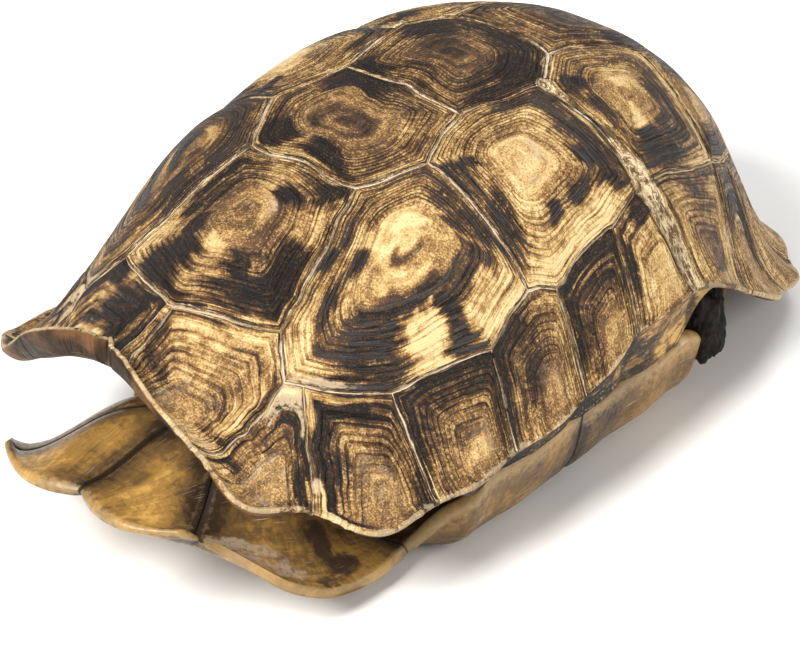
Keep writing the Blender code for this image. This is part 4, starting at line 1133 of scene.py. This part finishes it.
class ScuteHorn(Finish):
    """Horn with growth rings, as on the upper shell.

    One number, the tone, runs from cream through straw, gold and umber to black: more in the dark
    markings and ring lines, less in the pale ones, streaked along the rings and, ring by ring,
    across them. Seam strips, the fibre of the hinge and worn places lie on top.
    """

    def __init__(self, name):
        super().__init__(name)
        self.ring, self.edge, self.to_rim, self.shown = self.layer("growth")
        self.dark, self.pale, self.worn, self.brown = self.layer("marks")
        self.under, self.hinge, cosine, sine = self.layer("place")
        turn = self.node("ShaderNodeCombineXYZ", {}, {0: cosine, 1: sine})
        ring = self.ring
        self.cloud = self.wave(90.0, 3.0)
        self.mottle = self.wave(430.0, 5.0, 0.72)
        self.speck = self.wave(2300.0, 2.0, 0.6)
        self.comb = self.wave(10.0, 4.0, 0.7, w=ring.math("FLOOR") * 3.0, vector=turn)
        self.streak = self.wave(75.0, 4.0, 0.62, w=ring * 0.45)
        self.fine = self.wave(60.0, 3.0, 0.6, w=ring * 1.6)
        self.hair = self.wave(110.0, 3.0, 0.65, w=ring * 3.5)
        self.breaks = self.wave(260.0, 3.0, 0.6, w=ring * 2.0)
        pulse = (ring.math("FRACT") - 0.5).size() * 2.0
        which = self.wave(22.0, 1.0, w=ring.math("ROUND") * 5.3)
        lines = pulse + which * 1.6 + self.hair * 0.8 + self.breaks * 0.5
        self.line = lines.rises(0.62, 0.92) * self.shown
        self.along = self.shown * 0.75 + 0.25
        self.calm = 1.0 - self.pale * 0.45

    def tone(self, depth, bundle):
        """How dark the horn is, round a mean depth. bundle is added to it beside the seams."""
        tone = self.dark * 0.66 + self.brown * 0.34 - self.pale * 0.36 + depth
        tone = tone + self.streak * 1.2 + self.cloud * 0.8 + self.comb * 1.5 * self.along
        tone = tone + (self.mottle * 0.6 + self.speck * 0.8) * self.calm
        tone = tone + (self.fine * 0.95 + self.hair * 1.05) * self.along
        tone = tone + self.line * (0.27 - self.pale * 0.09)
        return tone + self.edge.falls(0.8, 3.2) * (self.hair * 1.8 + self.fine * 1.2 + bundle)

    def horn(self, tone, painted_sheen):
        """Colour of the horn, with a painted sheen, a bluish-grey highlight between black rings, specks,
        and chalky wear on worn places and along the free rim."""
        between = (self.fine + self.hair * 1.1 + self.comb * 0.3).rises(-0.06, 0.16)
        colour = self.ramp(tone, *HORN_TONES)
        # Painted sheen: a bluish-grey highlight laid between the black rings.
        colour = self.blend(between * tone.rises(0.75, 1.1) * painted_sheen, colour, PAINTED_SHEEN)
        shade = self.mottle * 1.3 + self.speck * 2.2 + self.breaks * 1.3
        colour = self.blend(shade.rises(0.04, 0.5) * 0.6 * self.calm, colour, UMBER)
        light = (shade * -1.0).rises(0.04, 0.4) * 0.3 * tone.falls(0.45, 0.8)
        colour = self.blend(light, colour, CREAM)
        wear = self.worn * (1.0 + self.mottle * 5.0 + self.cloud * 2.0 + self.fine * 2.0)
        colour = self.blend(wear.rises(0.3, 1.1) * 0.62, colour, CHALK)
        chipped = self.to_rim + self.wave(150.0, 4.0, 0.7) * 7.0 + self.mottle * 3.0
        return self.blend(chipped.falls(0.05, 0.6) * 0.4, colour, CHALK)

    def lay_seams(self, colour, width):
        """Strips of fibre beside the seams, a crack along each and a white thread between."""
        self.fibre = self.wave(200.0, 4.0, 0.7, w=self.edge * 2.0)
        strands = self.edge * 1.25 + self.fibre * 3.4 + 0.35
        self.strands = strands.math("FRACT").rises(0.42, 0.85)
        strip = self.edge + self.fibre * 3.0 + self.cloud * 1.6
        self.strip = strip.falls(width * 0.85, width * 1.25)
        laid = self.blend((self.strands + self.mottle * 2.4).rises(0.35, 0.85), SEAM_PALE, SEAM_BROWN)
        laid = self.blend((self.fibre + self.mottle * 0.3).size().falls(0.006, 0.03), laid, UMBER)
        colour = self.blend(self.strip * 0.9, colour, laid)
        crack = ((self.edge - width).size() + self.fibre * 2.2).falls(0.02, 0.22)
        colour = self.blend(crack * 0.8, colour, BLACK_HORN)
        thread = (self.edge + self.cloud * 1.3 + self.mottle * 0.5).falls(0.02, 0.14)
        return self.blend(thread * 0.8, colour, SEAM_WHITE)

    def lay_hinge(self, colour):
        """The hinge band: torn pale and brown fibre with splits and stains, and black beside it."""
        self.strand = self.wave(150.0, 4.0, 0.7, w=self.hinge * 5.0)
        self.band = (self.hinge + self.strand * 2.0 + self.mottle * 0.6).falls(0.84, 1.02)
        fibre = (self.strand * 1.3 + self.mottle * 0.9).rises(-0.13, 0.0)
        laid = self.blend(fibre, FIBRE_BROWN, FIBRE_PALE)
        split = (self.strand + self.mottle * 0.35).size().falls(0.006, 0.022)
        laid = self.blend(split, laid, FIBRE_SPLIT)
        laid = self.blend(self.grain(380.0, 3.0).rises(0.57, 0.62) * 0.85, laid, UMBER)
        colour = self.blend(self.band * 0.95, colour, laid)
        beside = ((self.hinge - 1.2).size() + self.strand * 1.4).falls(0.03, 0.22)
        return self.blend(beside * (1.0 - self.band) * 0.8, colour, BLACK_HORN)


def scute_finish(name, depth, strip_width=0.55, bundle=-0.05, painted_sheen=0.1):
    """Horn of a group of scutes: the depth of its tone, the width of the fibre beside its seams in
    millimetres, what its outermost rings add to the tone, and how strong the painted sheen, a bluish-grey
    highlight, is in its black."""
    f = ScuteHorn(name)
    colour = f.horn(f.tone(depth, bundle), painted_sheen)
    colour = f.lay_hinge(f.lay_seams(colour, strip_width))
    beneath = f.blend(f.grain(90.0, 4.0).rises(0.4, 0.6), UNDER_DARK, UNDER_BROWN)
    colour = f.blend(f.under.rises(0.55, 0.95), colour, beneath)
    rough = 0.46 + f.fine * 0.4 + f.mottle * 0.5 + f.strip.most(f.band) * 0.15
    height = f.line * -0.6 + (f.hair * 1.2 + f.fine * 1.4) * f.along + f.mottle * 1.6 + f.speck
    height = height + f.strand * f.band * 2.2 + (f.fibre * 1.6 - f.strands * 0.3) * f.strip
    return f.done(colour, rough, height, 0.00026, shine=0.14)


def plastron_finish(name):
    """Smooth honey-amber horn: clouded, brown along the seams, with dark blotches, pale scratches
    and a rounded pale edge."""
    f = Finish(name)
    ring, seam = f.layer("growth")[:2]
    dark, pale, worn, brown = f.layer("marks")
    edge, across = f.layer("place")[:2]
    cloud = f.wave(34.0, 4.0, 0.55)
    streak = f.wave(60.0, 4.0, 0.6, w=ring * 0.6)
    fine = f.wave(700.0, 4.0, 0.68)
    brush = f.wave(45.0, 4.0, 0.65, w=across * 24.0)
    tone = 0.47 - pale * 0.34 + brown * 0.4 + cloud * 1.5 + streak * 0.6 + fine * 0.7 + brush * 0.7
    tone = tone + (seam + streak * 6.0 + brush * 6.0).falls(0.4, 4.5) * 0.35
    colour = f.ramp(tone, *AMBER_TONES)
    blotch = (dark + cloud * 1.6 + brush * 1.6 + streak * 1.2 + fine * 0.8).rises(0.3, 1.0)
    colour = f.blend(blotch * 0.85, colour, AMBER_BLOTCH)
    wear = (worn * (1.0 + fine * 6.0 + cloud * 3.0)).rises(0.3, 1.2)
    colour = f.blend(wear * 0.6, colour, AMBER_WORN)
    scratches = f.grain(130.0, 2.0, 0.5, w=across * 130.0).rises(0.65, 0.72)
    colour = f.blend(scratches * 0.5, colour, AMBER_SCRATCH)
    colour = f.blend((edge + fine * 2.5).falls(0.15, 1.0) * 0.35, colour, AMBER_LIP)
    crease = (seam + streak * 1.6 + fine * 0.6).falls(0.16, 0.5)
    colour = f.blend(crease * 0.9, colour, AMBER_CREASE)
    beside = ((seam - 0.8).size() + brush * 1.2 + fine).falls(0.02, 0.16)
    colour = f.blend(beside * 0.12, colour, AMBER_BESIDE)
    rough = 0.38 + fine * 0.5 + wear * 0.3 + cloud * 0.2
    return f.done(colour, rough, fine * 1.5 + brush - crease, 0.00010, coat=0.12, shine=0.35)


def flange_finish(name):
    """Undersides of the marginals: dark brown to black horn streaked along the keel, yellow
    further back, with the seams as lines and chalky specks."""
    f = Finish(name)
    ring, seam = f.layer("growth")[:2]
    dark, pale = f.layer("marks")[:2]
    streak = f.wave(70.0, 4.0, 0.6, w=ring * 1.0)
    fine = f.wave(60.0, 4.0, 0.65, w=ring * 3.5)
    speck = f.wave(900.0, 4.0, 0.7)
    patch = f.wave(150.0, 4.0, 0.7)
    tone = 0.62 + dark * 0.35 - pale * 0.36 + streak * 1.6 + fine * 1.8 + speck * 0.7 + patch * 3.2
    colour = f.ramp(tone, *FLANGE_TONES)
    colour = f.blend((seam + fine * 2.0).falls(0.3, 1.0) * 0.8, colour, FLANGE_SEAM)
    colour = f.blend((speck + streak * 0.8).rises(0.10, 0.17) * 0.4, colour, CHALK)
    return f.done(colour, 0.5 + speck * 0.5, streak + fine * 2.0 + speck * 1.5, 0.0003, shine=0.3)


def bone_finish(name):
    """Dry bone inside the shell, pale with brown stains; horn brown towards the rim."""
    f = Finish(name)
    inner, share = f.layer("place")[:2]
    cloud = f.grain(60.0, 5.0, 0.6)
    pores = f.grain(900.0, 3.0, 0.6)
    colour = f.blend(cloud.rises(0.35, 0.7), BONE_STAINED, BONE_PALE)
    colour = f.blend(pores.rises(0.6, 0.72) * 0.5, colour, BONE_PORES)
    colour = f.blend((share + (cloud - 0.5) * 0.08).rises(0.82, 0.90), colour, BONE_AT_RIM)
    colour = f.blend(inner.falls(0.2, 0.6), colour, BONE_OUTSIDE)
    return f.done(colour, 0.7, pores * 0.6 + cloud * 0.4, 0.0002)


def crust_finish(name):
    """Black, cracked, dried tissue with a dull sheen."""
    f = Finish(name)
    lumps = f.grain(260.0, 5.0, 0.65)
    colour = f.blend(lumps.rises(0.4, 0.72), CRUST_BLACK, CRUST_BROWN)
    return f.done(colour, 0.5 + lumps * 0.3, lumps, 0.0012, shine=0.15)


def carry(piece, node):
    """A piece rides on the shell and stands for its CAD node, which is hidden."""
    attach(piece, "root")
    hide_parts(node)


def back_scutes(back_horn, rim_horn):
    """The five vertebrals along the back, the nuchal and the tail scute."""
    plates = [scute_plate(name, both_sides(names), (0.0, along), COSTAL_RISE, back_horn, rows=130,
                          seed=number + 1, areola=0.32, gap=0.9)
              for number, (name, names, along) in enumerate(VERTEBRALS)]
    nuchal = scute_plate("nuchal", both_sides(("nuchal", "rim_0")), (0.0, -0.80), 0.0, rim_horn,
                         rows=60, spacing=0.6, seed=8)
    tail = scute_plate("tail_scute", both_sides(("v5_m11_tail", "rim_11")), (0.0, 0.90),
                       MARGINAL_RISE, rim_horn, rows=80, seed=9)
    return plates + [nuchal, tail]


def flank_scutes(side, word, flank_horn):
    """The four costals of a side."""
    return [scute_plate(name + "-" + word, one_side(names, side), (side * across, along),
                        COSTAL_RISE, flank_horn, side, 150, seed=10 + number + 20 * (side < 0),
                        areola=0.34 if number == 0 else 0.28)
            for number, (name, names, (across, along)) in enumerate(COSTALS)]


def rim_scutes(side, word, rim_horn):
    """The eleven marginals of a side: the first-grown field lies towards the rim, a little nearer
    its rear corner, and the front three have fewer and deeper rings."""
    plates = []
    for number, tops in enumerate(MARGINAL_TOPS):
        front, rear = "rim_%d" % number, "rim_%d" % (number + 1)
        upper = np.mean([corner_place(corner, side) for corner in tops], axis=0)
        lower = corner_place(rear, side) * 0.62 + corner_place(front, side) * 0.38
        gap, folds = (1.4, 1.7) if number < 3 else (1.0, 1.0)
        plates.append(scute_plate(
            "marginal_%d-%s" % (number + 1, word), one_side(tops + (rear, front), side),
            upper * 0.30 + lower * 0.70, MARGINAL_RISE, rim_horn, side, 84, 1.0, gap,
            areola=0.24, folds=folds, seed=40 + number + 20 * (side < 0)))
    return plates


def make_upper_shell():
    """All scutes, the undersides over the bridges and the bone under them."""
    back_horn = scute_finish("back_horn", 0.53)
    # The costals get the strongest painted sheen between their black rings.
    flank_horn = scute_finish("flank_horn", 0.41, painted_sheen=0.6)
    rim_horn = scute_finish("rim_horn", 0.44, 0.34, 0.12)
    flange_horn = flange_finish("flange_horn")
    plates = back_scutes(back_horn, rim_horn)
    for side, word in SIDES:
        plates += flank_scutes(side, word, flank_horn)
        plates += rim_scutes(side, word, rim_horn)
        plates.append(bridge_flange("bridge_flange-" + word, side, flange_horn))
    plates.append(bone_shell(bone_finish("dry_bone")))
    for plate in plates:
        carry(plate, "carapace")


def make_lower_shell():
    """The twelve scutes of the lower shell."""
    amber_horn = plastron_finish("amber_horn")
    for number, (name, start, end) in enumerate(PLASTRON_PLATES):
        for side, word in SIDES:
            plate = plastron_plate(name + "-" + word, start, end, side, amber_horn, number + 1)
            carry(plate, "plastron")


def aim(holder, right, up, back, place):
    """Turns an object's three axes to the given directions and puts it in its place."""
    matrix = np.eye(4)
    matrix[:3] = np.stack([right, up, back, place], -1)
    holder.matrix_world = Matrix(matrix.tolist())


def make_camera():
    """The view: turned round the object, raised and leant, aimed a little off it."""
    azimuth, elevation, roll = np.radians((CAMERA_AZIMUTH, CAMERA_ELEVATION, CAMERA_ROLL))
    back = np.array([math.sin(azimuth) * math.cos(elevation),
                     -math.cos(azimuth) * math.cos(elevation), math.sin(elevation)])
    level = np.array([math.cos(azimuth), math.sin(azimuth), 0.0])
    upright = np.cross(back, level)
    right = level * math.cos(roll) + upright * math.sin(roll)
    up = upright * math.cos(roll) - level * math.sin(roll)
    place = np.array(CAMERA_TARGET) + back * CAMERA_DISTANCE
    back = unit(back - right * CAMERA_AIM[0] - up * CAMERA_AIM[1])
    right = unit(right - back * (right @ back))
    camera = bpy.data.cameras.new("camera")
    camera.lens = CAMERA_LENS
    camera.sensor_width = 36.0
    camera.clip_start = 0.05
    camera.clip_end = 20.0
    holder = add_object("camera", camera)
    aim(holder, right, np.cross(back, right), back, place)
    bpy.context.scene.camera = holder


def lamp(name, place, size, power, colour):
    """A square soft light at a place, turned towards the shell."""
    light = bpy.data.lights.new(name, "AREA")
    light.size = size
    light.energy = power
    light.color = colour
    away = unit(np.array(place) - LAMP_TARGET)
    side = unit(np.cross((0.0, 0.0, 1.0), away))
    aim(add_object(name, light), side, np.cross(away, side), away, place)


def make_studio():
    """Pale floor, pale surroundings and the lights."""
    reach = FLOOR_REACH
    mesh = bpy.data.meshes.new("floor")
    corners = [(-reach, -reach, 0), (reach, -reach, 0), (reach, reach, 0), (-reach, reach, 0)]
    mesh.from_pydata(corners, [], [(0, 1, 2, 3)])
    paper = Finish("pale_paper")
    mesh.materials.append(paper.done(paper.blend(paper.grain(40.0) * 0.02, PAPER, PAPER_GREY), 0.9))
    floor = add_object("floor", mesh)
    world = bpy.data.worlds.new("pale_room")
    world.use_nodes = True
    world.node_tree.nodes["Background"].inputs["Color"].default_value = (1.0, 1.0, 1.0, 1.0)
    world.node_tree.nodes["Background"].inputs["Strength"].default_value = ROOM_LIGHT
    bpy.context.scene.world = world
    bpy.context.scene.view_settings.view_transform = "Standard"
    for row in LAMPS:
        lamp(*row)


make_camera()
make_upper_shell()
make_lower_shell()
carry(dried_crust(crust_finish("dried_tissue_finish")), "dried_tissue")
make_studio()
